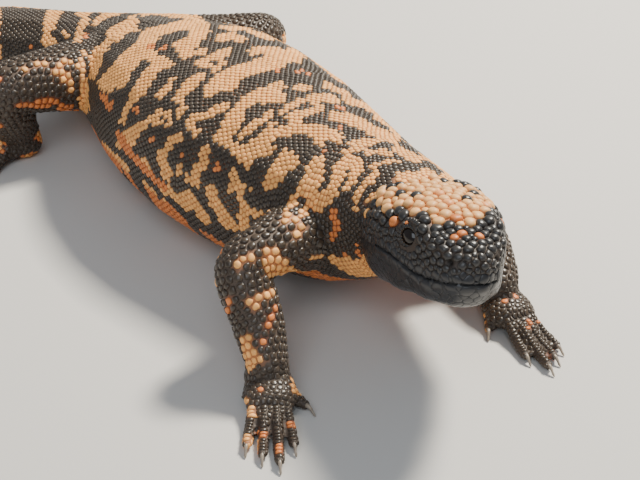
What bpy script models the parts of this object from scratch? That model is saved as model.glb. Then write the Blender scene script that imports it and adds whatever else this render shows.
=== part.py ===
"""A life-size gila monster, standing with its head raised and turned to its right.

The animal faces -Y and its left side is +X. The origin is on the floor, under the middle of
the trunk, where the belly's flat rests. Lengths in the tables are centimetres, and CM turns
them into Blender's metres. The flesh is lofted and blended whole, then parted by thin cuts.
"""

from math import cos, pi, radians, sin

import bmesh
import bpy
from mathutils import Matrix, Vector

CM = 0.01
PARTING = 0.035  # width of the cuts between neighbouring parts
VOXEL = 0.11  # grain at which the flesh is blended into one body
BLEND_PASSES = 12
BLEND_FACTOR = 0.5
FLESH_TRIANGLES = 4350
FACE_REACH = 4.8  # how far from the face and from each foot the surface keeps its detail
FOOT_REACH = 3.4
LIMB_REACH = 8.5
FACE_DETAIL = 0.3  # how much of the smoothing face and feet are spared
FOOT_DETAIL = 0.6
FACE_FINENESS = 0.2  # how much of the thinning face and limbs are spared
LIMB_FINENESS = 0.2

# The trunk and tail as sections across the backbone, from the nape to the tip of the tail:
# x, y and height of the middle, half width, rise of the back, depth of the belly.
BACKBONE = (
    (0.70, -13.6, 5.05, 2.15, 1.85, 1.95),
    (0.80, -12.0, 4.85, 2.50, 2.15, 2.45),
    (0.60, -10.4, 4.50, 3.05, 2.60, 2.90),
    (0.30, -8.4, 4.15, 3.68, 3.05, 3.35),
    (0.12, -5.2, 3.92, 4.48, 3.48, 3.75),
    (0.00, -1.2, 3.85, 5.15, 3.65, 3.90),
    (0.00, 3.0, 3.75, 5.00, 3.50, 3.80),
    (0.00, 6.6, 3.45, 4.20, 3.05, 3.50),
    (-0.15, 9.4, 3.10, 3.35, 2.60, 3.05),
    (-0.60, 11.8, 2.75, 2.65, 2.20, 2.65),
    (-1.70, 14.4, 2.35, 2.30, 1.95, 2.30),
    (-3.90, 17.8, 2.05, 2.15, 1.85, 2.08),
    (-7.00, 20.8, 1.75, 1.90, 1.65, 1.79),
    (-10.40, 22.8, 1.30, 1.42, 1.28, 1.34),
    (-13.10, 23.6, 0.88, 0.90, 0.84, 0.91),
    (-14.70, 23.7, 0.55, 0.45, 0.42, 0.50),
)
BACK_ROUNDNESS = 2.15  # exponents of the superellipse above and below the backbone
BELLY_ROUNDNESS = 2.60
RING_POINTS = 36
ROWS_BETWEEN = 4  # smooth sections for each one in the tables

# The head in its own frame: forward from the nape, half width, crown height, jaw depth.
HEAD_AT = Vector((0.90, -12.32, 4.75))
HEAD_TURN = radians(20)  # to the animal's right
HEAD_LIFT = radians(17.5)
HEAD_TILT = radians(-5)  # the crown leans to the animal's left
HEAD_LENGTH = 7.3
HEAD_SECTIONS = (
    (-0.6, 2.20, 1.70, 1.75),
    (0.5, 2.48, 1.84, 1.85),
    (1.7, 2.66, 1.95, 1.90),
    (2.9, 2.60, 1.94, 1.84),
    (4.1, 2.24, 1.80, 1.72),
    (5.3, 1.74, 1.50, 1.60),
    (6.3, 1.40, 1.20, 1.45),
)
SNOUT_FROM = 5.3  # where the rounding of the blunt snout begins
SNOUT_BLUNTNESS = 2.3
SNOUT_RINGS = 9
CROWN_TAPER = 0.8  # crown and jaw close later than the sides do
JAW_TAPER = 0.7
CROWN_ROUNDNESS = 2.35
JAW_ROUNDNESS = 2.50

# Muscle and bone that swell out on both sides of the head: forward, sideways and up of the
# middle, then the radii the same ways.
HEAD_PAIRS = (
    ((1.9, 1.60, -0.25), (1.85, 1.10, 1.50)),  # jaw muscle
    ((1.6, 1.15, 1.05), (1.80, 1.05, 0.88)),  # temple
    ((4.3, 1.22, 1.12), (1.35, 0.58, 0.45)),  # brow
    ((5.4, 0.98, 0.72), (1.20, 0.62, 0.50)),  # bridge between brow and nose
    ((6.15, 0.66, 0.50), (0.80, 0.55, 0.50)),  # nose
    ((3.1, 1.58, -0.95), (1.90, 0.64, 0.68)),  # lower lip, behind and before
    ((4.9, 1.12, -0.92), (1.30, 0.56, 0.62)),
    ((3.4, 1.52, -0.05), (1.60, 0.52, 0.42)),  # upper lip, behind and before
    ((5.0, 1.14, -0.02), (1.30, 0.50, 0.42)),
)
HEAD_MIDDLES = (
    ((1.2, 0, -1.1), (2.4, 1.9, 1.15)),  # throat
    ((5.4, 0, -0.90), (1.60, 1.34, 0.82)),  # chin
)

EYE_AT = (4.65, 1.76, 0.80)  # forward, sideways, up
EYE_RADIUS = 0.33
MOUTH_LINE = ((8.2, -0.45), (7.0, -0.42), (5.8, -0.52), (4.6, -0.40), (3.4, -0.05), (2.75, 0.12))
JAW_CUT_END = (1.9, -3.2)
JAW_CUT_REACH = 4.0


def add(bm, part):
    """Moves the shape in part over into bm."""
    mesh = bpy.data.meshes.new("part")
    part.to_mesh(mesh)
    part.free()
    bm.from_mesh(mesh)
    bpy.data.meshes.remove(mesh)


def smooth_between(a, b, c, d, t):
    """A point on the Catmull-Rom curve from b to c, with a before them and d after."""
    return [
        q + 0.5 * t * (r - p + t * (2 * p - 5 * q + 4 * r - s + t * (3 * (q - r) + s - p)))
        for p, q, r, s in zip(a, b, c, d)
    ]


def smooth_rows(rows, steps):
    """The rows of a table with steps - 1 smooth ones added between each two."""
    padded = [rows[0], *rows, rows[-1]]
    dense = []
    for i in range(len(rows) - 1):
        for k in range(steps):
            dense.append(smooth_between(*padded[i : i + 4], k / steps))
    return [*dense, list(rows[-1])]


def superellipse(angle, half_width, rise, depth, power_above, power_below):
    """Sideways and upward offsets of a section's outline; the angle starts at the left side."""
    power = power_above if sin(angle) >= 0 else power_below
    height = rise if sin(angle) >= 0 else depth
    across = abs(cos(angle)) ** (2 / power) * (1 if cos(angle) >= 0 else -1)
    up = abs(sin(angle)) ** (2 / power) * (1 if sin(angle) >= 0 else -1)
    return half_width * across, height * up


def loft(bm, rings):
    """One closed shell through rings that all have the same number of points."""
    made = [[bm.verts.new(p * CM) for p in ring] for ring in rings]
    sides = len(made[0])
    for one, two in zip(made, made[1:]):
        for i in range(sides):
            j = (i + 1) % sides
            bm.faces.new((one[i], two[i], two[j], one[j]))
    bm.faces.new(made[0])
    bm.faces.new(reversed(made[-1]))


def trunk_and_tail(bm):
    """The loft of BACKBONE, its sections square to the backbone in plan."""
    rows = smooth_rows(BACKBONE, ROWS_BETWEEN)
    rings = []
    for i, (x, y, z, half_width, rise, depth) in enumerate(rows):
        before, after = rows[max(i - 1, 0)], rows[min(i + 1, len(rows) - 1)]
        along = Vector((after[0] - before[0], after[1] - before[1], 0)).normalized()
        left = Vector((along.y, -along.x, 0))
        ring = []
        for k in range(RING_POINTS):
            angle = 2 * pi * k / RING_POINTS
            side, up = superellipse(
                angle, half_width, rise, depth, BACK_ROUNDNESS, BELLY_ROUNDNESS
            )
            ring.append(Vector((x, y, z)) + left * side + Vector((0, 0, up)))
        rings.append(ring)
    loft(bm, rings)


def head_matrix():
    """Turns (forward, left, up) in the head's frame into the animal's frame."""
    level = Vector((-sin(HEAD_TURN), -cos(HEAD_TURN), 0)) * cos(HEAD_LIFT)
    ahead = level + Vector((0, 0, sin(HEAD_LIFT)))
    left = Vector((cos(HEAD_TURN), -sin(HEAD_TURN), 0))
    up = ahead.cross(left).normalized()
    turned = Matrix((ahead, left, up)).transposed().to_4x4()
    return Matrix.Translation(HEAD_AT) @ turned @ Matrix.Rotation(HEAD_TILT, 4, "X")


def snout_taper(forward):
    """How much of its width a section keeps, where the blunt snout closes."""
    if forward <= SNOUT_FROM:
        return 1.0
    share = min((forward - SNOUT_FROM) / (HEAD_LENGTH - SNOUT_FROM), 1.0)
    return max(1 - share**SNOUT_BLUNTNESS, 0.0) ** (1 / SNOUT_BLUNTNESS)


def head_shell(bm):
    """The head from nape to snout, with the snout's end rounded off by snout_taper."""
    rows = smooth_rows(HEAD_SECTIONS, ROWS_BETWEEN)
    kept = [row for row in rows if row[0] < SNOUT_FROM]
    for i in range(SNOUT_RINGS):
        share = sin(0.5 * pi * i / SNOUT_RINGS)
        forward = SNOUT_FROM + share * (HEAD_LENGTH - SNOUT_FROM)
        ahead_of = [row for row in rows if row[0] >= forward] or [rows[-1]]
        kept.append([forward, *ahead_of[0][1:]])
    whole = head_matrix()
    rings = []
    for forward, half_width, crown, jaw in kept:
        keep = snout_taper(forward)
        ring = []
        for k in range(RING_POINTS):
            side, up = superellipse(
                2 * pi * k / RING_POINTS,
                half_width * keep,
                crown * keep**CROWN_TAPER,
                jaw * keep**JAW_TAPER,
                CROWN_ROUNDNESS,
                JAW_ROUNDNESS,
            )
            ring.append(whole @ Vector((forward, side, up)))
        rings.append(ring)
    loft(bm, rings)


def swelling(bm, centre, radii, frame=None):
    """An ellipsoid of flesh; radii run along the frame's own axes."""
    place = Matrix.Translation(centre) @ (frame or Matrix.Identity(4)) @ Matrix.Diagonal((*radii, 1))
    part = bmesh.new()
    bmesh.ops.create_uvsphere(
        part, u_segments=24, v_segments=16, radius=1, matrix=Matrix.Scale(CM, 4) @ place
    )
    add(bm, part)


def head_swellings(bm):
    """Jaw muscles, brows, nose, lips and throat, mirrored where the head has two."""
    whole = head_matrix()
    turn = whole.to_3x3().to_4x4()
    for (ahead, side, up), radii in HEAD_PAIRS:
        for hand in (1, -1):
            swelling(bm, whole @ Vector((ahead, hand * side, up)), radii, turn)
    for middle, radii in HEAD_MIDDLES:
        swelling(bm, whole @ Vector(middle), radii, turn)


def tube(points, radii, sides):
    """A limb-like mesh along smooth points, each with its own radius."""
    line = bpy.data.curves.new("line", "CURVE")
    line.dimensions = "3D"
    line.bevel_depth = CM
    line.bevel_resolution = sides // 2 - 2
    line.use_fill_caps = True
    spline = line.splines.new("POLY")
    spline.points.add(len(points) - 1)
    for point, place, radius in zip(spline.points, points, radii):
        point.co = (*(Vector(place) * CM), 1)
        point.radius = radius
    guide = bpy.data.objects.new("guide", line)
    bpy.context.scene.collection.objects.link(guide)
    bpy.context.view_layer.update()
    graph = bpy.context.evaluated_depsgraph_get()
    mesh = bpy.data.meshes.new_from_object(guide.evaluated_get(graph))
    bpy.data.objects.remove(guide)
    made = bmesh.new()
    made.from_mesh(mesh)
    bpy.data.meshes.remove(mesh)
    bmesh.ops.remove_doubles(made, verts=made.verts, dist=1e-5)
    bmesh.ops.recalc_face_normals(made, faces=made.faces)
    return made


def add_tube(bm, points, radii, steps=5, sides=20):
    """Adds a tube through smooth points to the flesh, its ends rounded."""
    rows = smooth_rows([(*p, r) for p, r in zip(points, radii)], steps)
    add(bm, tube([row[:3] for row in rows], [row[3] for row in rows], sides))
    for place, radius in ((points[0], radii[0]), (points[-1], radii[-1])):
        swelling(bm, Vector(place), (radius, radius, radius))


# Each leg from its root in the trunk: the places and radii of its root, middle of the upper
# length, elbow or knee, thick of the lower length, and wrist or ankle; then the foot's heading,
# in degrees to the animal's left of straight ahead.
LEGS = {
    "front_right": {
        "bones": (
            (-2.4, -9.3, 4.0), (-4.3, -10.0, 4.4), (-5.95, -10.3, 4.1), (-6.1, -11.5, 2.6),
            (-6.45, -12.8, 1.3),
        ),
        "radii": (1.65, 1.15, 1.08, 1.04, 0.84),
        "heading": -27,
        "spread": 0.95,
        "parting": ((-3.55, -9.6, 4.2), (-1, -0.35, 0.15)),
        "parting_radius": 2.3,
        "toes": "front",
    },
    "front_left": {
        "bones": (
            (2.6, -9.2, 3.7), (4.3, -10.1, 2.9), (5.3, -10.9, 2.0), (4.9, -12.3, 1.7),
            (4.35, -13.6, 1.25),
        ),
        "radii": (1.65, 1.15, 1.08, 1.00, 0.84),
        "heading": -13,
        "spread": 0.8,
        "parting": ((3.95, -9.95, 3.05), (1.7, -0.9, -0.8)),
        "parting_radius": 1.8,
        "toes": "front",
    },
    "hind_right": {
        "bones": (
            (-1.9, 9.0, 3.4), (-4.8, 8.6, 4.0), (-7.4, 8.6, 4.1), (-7.1, 9.1, 2.6),
            (-6.5, 9.5, 1.2),
        ),
        "radii": (2.00, 1.55, 1.25, 1.22, 0.95),
        "heading": -105,
        "spread": 1.0,
        "parting": ((-4.0, 8.8, 3.7), (-1, 0.3, 0.1)),
        "parting_radius": 2.7,
        "toes": "hind",
    },
    "hind_left": {
        "bones": (
            (1.8, 9.0, 3.4), (4.3, 8.1, 3.55), (6.2, 7.7, 3.6), (6.9, 9.3, 2.6),
            (7.1, 10.9, 1.25),
        ),
        "radii": (2.00, 1.55, 1.25, 1.22, 0.95),
        "heading": 22,
        "spread": 1.0,
        "parting": ((4.0, 8.4, 3.6), (1, 0.3, 0.05)),
        "parting_radius": 2.7,
        "toes": "hind",
    },
}

WRIST_CUT_TILT = {"front": (0, 0, -1), "hind": (0, 0, -3)}  # turns those cuts towards level

# Toes from the innermost: how far ahead of the wrist and how far inwards each leaves the palm,
# its splay inwards in degrees, and its length without the claw.
TOES = {
    "front": (
        (0.35, 0.58, 38, 1.10),
        (1.30, 0.54, 3, 2.00),
        (1.45, 0.16, -3, 2.75),
        (1.40, -0.26, -8, 2.35),
        (1.15, -0.66, -13, 2.05),
    ),
    "hind": (
        (0.75, 0.70, 44, 1.25),
        (1.40, 0.62, 17, 1.95),
        (1.55, 0.20, 4, 2.60),
        (1.50, -0.26, -8, 2.60),
        (1.00, -0.70, -30, 2.00),
    ),
}
TOE_RADII = (0.275, 0.289, 0.297, 0.264, 0.275, 0.242)
TOE_RISE = (0.46, 0.60, 0.58, 0.38, 0.26, 0.24)  # heights along a toe, from palm to tip
CLAW_LENGTH = 0.86
CLAW_RADIUS = 0.145
CLAW_SIDES = 6
CLAW_POINTS = 5
CLAW_INSIDE = 0.14  # how far a claw starts inside its toe
CLAW_ARCH = 0.17
CLAW_DROOP = 0.2
CLAW_TAPER = 0.82
FLOOR_GAP = 0.012  # the lowest claw stays this far above the floor

# Swellings of each foot under and before the wrist: forward and up, then their radii.
PALM = (
    ((0.85, 0.60), (1.30, 1.08, 0.64)),
    ((1.10, 0.60), (1.00, 1.08, 0.50)),
    ((-0.05, 0.70), (1.00, 0.95, 0.80)),
)


def foot_axes(leg):
    """The way a foot points, and the way to its innermost toe."""
    heading = radians(leg["heading"])
    ahead = Vector((sin(heading), -cos(heading), 0))
    left = Vector((cos(heading), sin(heading), 0))
    on_right = leg["bones"][0][0] < 0
    return ahead, left if on_right else -left


def toe_line(leg, toe):
    """Points along a toe from inside the palm to its tip, and the way its tip points."""
    forward, inward, splay, length = toe
    inward *= leg["spread"]
    splay *= leg["spread"]
    ahead, inner = foot_axes(leg)
    wrist = Vector(leg["bones"][-1])
    way = (ahead * cos(radians(splay)) + inner * sin(radians(splay))).normalized()
    start = Vector((wrist.x, wrist.y, 0)) + ahead * forward + inner * inward
    steps = len(TOE_RISE) - 1
    points = []
    for i, rise in enumerate(TOE_RISE):
        reach = length * (i / steps) - 0.3 * (1 - i / steps)
        points.append(start + way * reach + Vector((0, 0, rise)))
    return points, way


def foot(bm, leg):
    """A flat palm under the wrist, with five toes."""
    ahead, inner = foot_axes(leg)
    wrist = Vector(leg["bones"][-1])
    turned = Matrix((ahead, inner, Vector((0, 0, 1)))).transposed().to_4x4()
    for (forward, up), radii in PALM:
        swelling(bm, Vector((wrist.x, wrist.y, up)) + ahead * forward, radii, turned)
    for toe in TOES[leg["toes"]]:
        points, _ = toe_line(leg, toe)
        add_tube(bm, points, TOE_RADII, steps=3, sides=12)


def claw_line(leg, toe):
    """A claw's points, from inside the toe's tip down to the floor, and its radii."""
    points, way = toe_line(leg, toe)
    tip = points[-1]
    line, radii = [], []
    for i in range(CLAW_POINTS):
        share = i / (CLAW_POINTS - 1)
        reach = share * CLAW_LENGTH - CLAW_INSIDE
        height = CLAW_ARCH * sin(pi * min(share * 1.15, 1)) - CLAW_DROOP * share**1.6
        line.append(tip + way * reach + Vector((0, 0, height)))
        radii.append(CLAW_RADIUS * (1 - CLAW_TAPER * share**1.3))
    lowest = min(p.z - r for p, r in zip(line, radii))
    lift = max(FLOOR_GAP - lowest, 0)
    return [p + Vector((0, 0, lift)) for p in line], radii


def link(name, bm, collection=None, material=None):
    """An object made of bm, in a collection or else loose in the scene."""
    mesh = bpy.data.meshes.new(name)
    bm.to_mesh(mesh)
    bm.free()
    made = bpy.data.objects.new(name, mesh)
    (collection or bpy.context.scene.collection).objects.link(made)
    if material:
        mesh.materials.append(material)
    return made


def evaluated(shape):
    """The mesh of an object with its modifiers applied; the object itself goes."""
    bpy.context.view_layer.update()
    graph = bpy.context.evaluated_depsgraph_get()
    mesh = bpy.data.meshes.new_from_object(shape.evaluated_get(graph))
    bpy.data.objects.remove(shape)
    return mesh


def blended_flesh():
    """Head, trunk, tail and legs as one closed body, finer over the head and feet."""
    bm = bmesh.new()
    trunk_and_tail(bm)
    head_shell(bm)
    head_swellings(bm)
    for leg in LEGS.values():
        add_tube(bm, leg["bones"], leg["radii"])
        foot(bm, leg)
    bmesh.ops.recalc_face_normals(bm, faces=bm.faces)
    rough = link("rough", bm)
    melt = rough.modifiers.new("melt", "REMESH")
    melt.mode = "VOXEL"
    melt.voxel_size = VOXEL * CM
    fine = bpy.data.objects.new("fine", evaluated(rough))
    bpy.context.scene.collection.objects.link(fine)
    soft = fine.vertex_groups.new(name="soft")
    coarse = fine.vertex_groups.new(name="coarse")
    face = head_matrix() @ Vector((3.6, 0, 0))
    feet = []
    for leg in LEGS.values():
        wrist = Vector(leg["bones"][-1])
        feet.append(Vector((wrist.x, wrist.y, 0)) + foot_axes(leg)[0] * 2)
    for vertex in fine.data.vertices:
        place = vertex.co / CM
        near_face = 1 - (place - face).length / FACE_REACH
        near_foot = max(1 - (place - foot_at).length / FOOT_REACH for foot_at in feet)
        near_limb = max(1 - (place - foot_at).length / LIMB_REACH for foot_at in feet)
        on_face = min(max(near_face * 2.5, 0), 1)
        on_foot = min(max(near_foot * 5, 0), 1)
        on_limb = min(max(near_limb * 4, 0), 1)
        kept = max(on_face * FACE_DETAIL, on_foot * FOOT_DETAIL)
        soft.add([vertex.index], 1 - kept, "REPLACE")
        kept = max(on_face * FACE_FINENESS, on_limb * LIMB_FINENESS)
        coarse.add([vertex.index], 1 - kept, "REPLACE")
    even = fine.modifiers.new("even", "SMOOTH")
    even.factor = BLEND_FACTOR
    even.iterations = BLEND_PASSES
    even.vertex_group = "soft"
    thin = fine.modifiers.new("thin", "DECIMATE")
    thin.ratio = FLESH_TRIANGLES / (2 * len(fine.data.polygons))
    thin.vertex_group = "coarse"
    thin.vertex_group_factor = 1.0
    return evaluated(fine)


def rest_on_floor(mesh):
    """Cuts the mesh off at the floor, which leaves flats under belly, tail, palms and toes."""
    bm = bmesh.new()
    bm.from_mesh(mesh)
    everything = [*bm.verts, *bm.edges, *bm.faces]
    bmesh.ops.bisect_plane(
        bm, geom=everything, dist=1e-6, plane_co=(0, 0, 0), plane_no=(0, 0, 1), clear_inner=True
    )
    open_edges = [edge for edge in bm.edges if edge.is_boundary]
    bmesh.ops.holes_fill(bm, edges=open_edges, sides=0)
    bmesh.ops.triangulate(bm, faces=bm.faces)
    bmesh.ops.dissolve_degenerate(bm, dist=2e-5, edges=bm.edges)
    bmesh.ops.recalc_face_normals(bm, faces=bm.faces)
    bm.to_mesh(mesh)
    bm.free()


def disc(centre, way, radius):
    """A thin round cutter, square to way."""
    bm = bmesh.new()
    turned = Vector((0, 0, 1)).rotation_difference(Vector(way)).to_matrix().to_4x4()
    bmesh.ops.create_cone(
        bm, cap_ends=True, segments=24, radius1=radius, radius2=radius, depth=PARTING,
        matrix=Matrix.Scale(CM, 4) @ Matrix.Translation(Vector(centre)) @ turned,
    )
    return bm


def jaw_sheet():
    """A thin bent sheet across the head, along the mouth and down behind the jaw."""
    bm = bmesh.new()
    line = [Vector(point) for point in (*MOUTH_LINE, JAW_CUT_END)]
    whole = head_matrix()
    rings = []
    for i, point in enumerate(line):
        along = (line[min(i + 1, len(line) - 1)] - line[max(i - 1, 0)]).normalized()
        off = Vector((-along.y, along.x)) * PARTING / 2
        ring = []
        for side, edge in ((-1, point - off), (1, point - off), (1, point + off), (-1, point + off)):
            ring.append(whole @ Vector((edge.x, side * JAW_CUT_REACH, edge.y)))
        rings.append(ring)
    loft(bm, rings)
    return bm


def cut(mesh, shapes, cutters):
    """The mesh less the shapes, taken away one after another; they stay in cutters."""
    body = bpy.data.objects.new("body", mesh)
    bpy.context.scene.collection.objects.link(body)
    for shape in shapes:
        bmesh.ops.recalc_face_normals(shape, faces=shape.faces)
        cutter = link("cutter", shape, cutters)
        cutter.hide_render = True
        cutter.display_type = "WIRE"
        taken = body.modifiers.new("cut", "BOOLEAN")
        taken.operation = "DIFFERENCE"
        taken.object = cutter
    return evaluated(body)


def sections():
    """Where the flesh is parted: middle, way through and radius of each thin cut."""
    whole = head_matrix()
    ahead = whole.to_3x3() @ Vector((1, 0, 0))
    cuts = [
        (whole @ Vector((0.8, 0, 0)), ahead, 3.4),
        ((0.70, -11.2, 4.65), (-0.1, -1, 0.2), 3.25),
        ((-0.40, 11.5, 2.8), (-0.15, 1, -0.05), 3.5),
        ((-4.6, 18.5, 2.0), (-0.75, 0.65, 0), 3.2),
    ]
    for leg in LEGS.values():
        _, middle, elbow, lower, wrist = (Vector(point) for point in leg["bones"])
        _, _, elbow_radius, _, wrist_radius = leg["radii"]
        round_elbow = (elbow - middle).normalized() + (lower - elbow).normalized()
        down_wrist = (wrist - lower).normalized() + Vector(WRIST_CUT_TILT[leg["toes"]])
        cuts.append((*leg["parting"], leg["parting_radius"]))
        cuts.append((elbow, round_elbow, elbow_radius * 2))
        cuts.append((wrist + Vector((0, 0, 0.15)), down_wrist, wrist_radius * 2.45))
    return cuts


def seeds():
    """A point well inside each part of the flesh, by name."""
    whole = head_matrix()
    named = {
        "head": whole @ Vector((3.0, 0, 0.9)),
        "lower_jaw": whole @ Vector((4.6, 0, -1.1)),
        "neck": Vector((0.85, -12.3, 5.0)),
        "trunk": Vector((0, 0, 3.6)),
        "tail_root": Vector((-1.9, 14.6, 2.3)),
        "tail_end": Vector((-8.5, 21.8, 1.5)),
    }
    words = {"front": ("upper_arm", "forearm", "hand"), "hind": ("thigh", "shin", "foot")}
    for place, leg in LEGS.items():
        kind, side = place.split("_")
        _, middle, elbow, lower, wrist = (Vector(point) for point in leg["bones"])
        upper, below, end = (f"{word}_{side}" for word in words[kind])
        named[upper] = middle.lerp(elbow, 0.2)
        named[below] = lower
        named[end] = Vector((wrist.x, wrist.y, 0.6)) + foot_axes(leg)[0] * 0.8
    return named


def islands(bm):
    """The loose bodies of a mesh, each as a list of its faces."""
    left = set(bm.faces)
    while left:
        found, waiting = [], [left.pop()]
        while waiting:
            face = waiting.pop()
            found.append(face)
            for edge in face.edges:
                for other in edge.link_faces:
                    if other in left:
                        left.remove(other)
                        waiting.append(other)
        yield found


def middle_of(faces):
    """The middle of the box round some faces."""
    points = [vertex.co for face in faces for vertex in face.verts]
    low = Vector([min(p[i] for p in points) for i in range(3)])
    high = Vector([max(p[i] for p in points) for i in range(3)])
    return (low + high) / 2


def part_flesh(mesh):
    """Splits the cut flesh into one mesh for each seed, by the nearest body."""
    bm = bmesh.new()
    bm.from_mesh(mesh)
    bodies = list(islands(bm))
    if len(bodies) != len(seeds()):
        raise ValueError(f"{len(bodies)} bodies for {len(seeds())} names")
    pieces = {}
    for name, seed in seeds().items():
        faces = min(bodies, key=lambda body: (middle_of(body) - seed * CM).length)
        corners = {}
        piece = bmesh.new()
        for face in faces:
            for vertex in face.verts:
                if vertex not in corners:
                    corners[vertex] = piece.verts.new(vertex.co)
            piece.faces.new([corners[vertex] for vertex in face.verts])
        pieces[name] = piece
    bm.free()
    return pieces


def material(name, colour, roughness):
    """A Principled material; nothing on the animal is metal."""
    made = bpy.data.materials.new(name)
    made.use_nodes = True
    shader = made.node_tree.nodes["Principled BSDF"]
    shader.inputs["Base Color"].default_value = (*colour, 1)
    shader.inputs["Roughness"].default_value = roughness
    shader.inputs["Metallic"].default_value = 0
    return made


def claw(leg, toe):
    """A curved, tapering claw with a blunt point."""
    points, radii = claw_line(leg, toe)
    return tube(points, radii, CLAW_SIDES)


def claw_sockets(bm):
    """The claws a parting wider all round, to hollow the toes' tips for them."""
    for leg in LEGS.values():
        for toe in TOES[leg["toes"]]:
            points, radii = claw_line(leg, toe)
            start = points[0] - (points[1] - points[0]).normalized() * PARTING
            wider = [radius + PARTING for radius in radii]
            add(bm, tube([start, *points[1:]], wider, CLAW_SIDES))


def eyeball(bm, hand, radius):
    """A ball on one side of the head; hand is 1 on the left and -1 on the right."""
    whole = head_matrix()
    ahead, side, up = EYE_AT
    centre = whole @ Vector((ahead, hand * side, up))
    place = Matrix.Translation(centre) @ whole.to_3x3().to_4x4()
    bmesh.ops.create_uvsphere(
        bm, u_segments=12, v_segments=8, radius=radius, matrix=Matrix.Scale(CM, 4) @ place
    )


def model():
    """The whole animal, one object for each part of its body."""
    for old in list(bpy.data.objects):
        bpy.data.objects.remove(old)
    animal = bpy.data.collections.new("gila_monster")
    cutters = bpy.data.collections.new("cutters")
    for collection in (animal, cutters):
        bpy.context.scene.collection.children.link(collection)

    flesh = blended_flesh()
    rest_on_floor(flesh)
    hollows = bmesh.new()
    claw_sockets(hollows)
    for hand in (1, -1):
        eyeball(hollows, hand, EYE_RADIUS + PARTING)
    slits = [disc(*section) for section in sections()]
    flesh = cut(flesh, [hollows, *slits, jaw_sheet()], cutters)

    skin = material("beaded_skin", (0.10, 0.07, 0.06), 0.5)
    peach = material("peach_skin", (0.72, 0.36, 0.20), 0.5)
    horn = material("horn", (0.30, 0.25, 0.22), 0.35)
    dark_eye = material("dark_eye", (0.02, 0.013, 0.01), 0.08)
    for name, piece in part_flesh(flesh).items():
        finish = peach if name in ("trunk", "tail_root", "tail_end") else skin
        link(name, piece, animal, finish)
    for place, leg in LEGS.items():
        kind, side = place.split("_")
        for number, toe in enumerate(TOES[leg["toes"]], 1):
            link(f"claw_{kind}_{side}_{number}", claw(leg, toe), animal, horn)
    for hand, side in ((1, "left"), (-1, "right")):
        ball = bmesh.new()
        eyeball(ball, hand, EYE_RADIUS)
        link(f"eye_{side}", ball, animal, dark_eye)
    for part in animal.objects:
        part.data.shade_smooth()


model()
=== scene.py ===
from math import cos, pi, radians, sin

import bmesh
import bpy
import numpy as np
from mathutils import Matrix, Vector, noise
from mathutils.bvhtree import BVHTree
from mathutils.kdtree import KDTree


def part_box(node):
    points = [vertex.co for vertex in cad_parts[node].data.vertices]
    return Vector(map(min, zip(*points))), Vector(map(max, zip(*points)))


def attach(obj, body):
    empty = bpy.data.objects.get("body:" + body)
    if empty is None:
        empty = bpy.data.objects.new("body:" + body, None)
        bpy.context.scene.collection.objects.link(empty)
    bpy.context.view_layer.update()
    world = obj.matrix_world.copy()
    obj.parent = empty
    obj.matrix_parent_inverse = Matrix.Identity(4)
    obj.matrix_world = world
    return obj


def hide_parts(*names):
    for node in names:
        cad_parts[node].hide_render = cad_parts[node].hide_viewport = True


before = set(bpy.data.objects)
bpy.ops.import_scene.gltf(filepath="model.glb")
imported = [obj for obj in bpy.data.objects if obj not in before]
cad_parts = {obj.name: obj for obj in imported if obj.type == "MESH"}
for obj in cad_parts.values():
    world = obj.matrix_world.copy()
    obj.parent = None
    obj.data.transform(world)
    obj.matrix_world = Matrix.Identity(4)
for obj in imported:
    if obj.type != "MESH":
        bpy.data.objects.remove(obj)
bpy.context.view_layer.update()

# The photograph's viewpoint. The markings are laid out as it shows them, so it
# comes first.
PHOTO_WIDTH = 640
PHOTO_HEIGHT = 480
FOCAL_PIXELS = 1500
CAMERA_AT = Vector((-0.303, -0.516, 0.365))
CAMERA_TURN = radians(34.1)
CAMERA_DIP = radians(33)

look = Vector((sin(CAMERA_TURN) * cos(CAMERA_DIP), cos(CAMERA_TURN) * cos(CAMERA_DIP), -sin(CAMERA_DIP)))
camera = bpy.data.objects.new("camera", bpy.data.cameras.new("camera"))
bpy.context.scene.collection.objects.link(camera)
camera.location = CAMERA_AT
camera.rotation_mode = "QUATERNION"
camera.rotation_quaternion = look.to_track_quat("-Z", "Y")
camera.data.sensor_width = 36
camera.data.lens = 36 * FOCAL_PIXELS / PHOTO_WIDTH
camera.data.clip_start = 0.02
camera.data.clip_end = 20
bpy.context.scene.camera = camera


def in_photo(places):
    """Where points of the model lie in the photograph, in its pixels."""
    right = np.array((cos(CAMERA_TURN), -sin(CAMERA_TURN), 0.0))
    ahead = np.array(look)
    up = np.cross(right, ahead)
    away = places - np.array(CAMERA_AT)
    depth = away @ ahead
    across = PHOTO_WIDTH / 2 + FOCAL_PIXELS * (away @ right) / depth
    down = PHOTO_HEIGHT / 2 - FOCAL_PIXELS * (away @ up) / depth
    return np.stack([across, down], axis=-1)


# The skin: one closed hide drawn over the whole animal, from snout to tail tip.
# It lies under the beaded scales, and shows only in the seams between them.
MM = 0.001
SWELL = 0.22 * MM  # closes the cuts between the parts of the model
SKIN_GRAIN = 0.75 * MM
SKIN_FACES = 84000
COAT_DEPTH = 0.45 * MM
TOE_DEPTH = 0.40 * MM  # toes give way more, so that they stand apart
EASING_PASSES = 45

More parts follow.
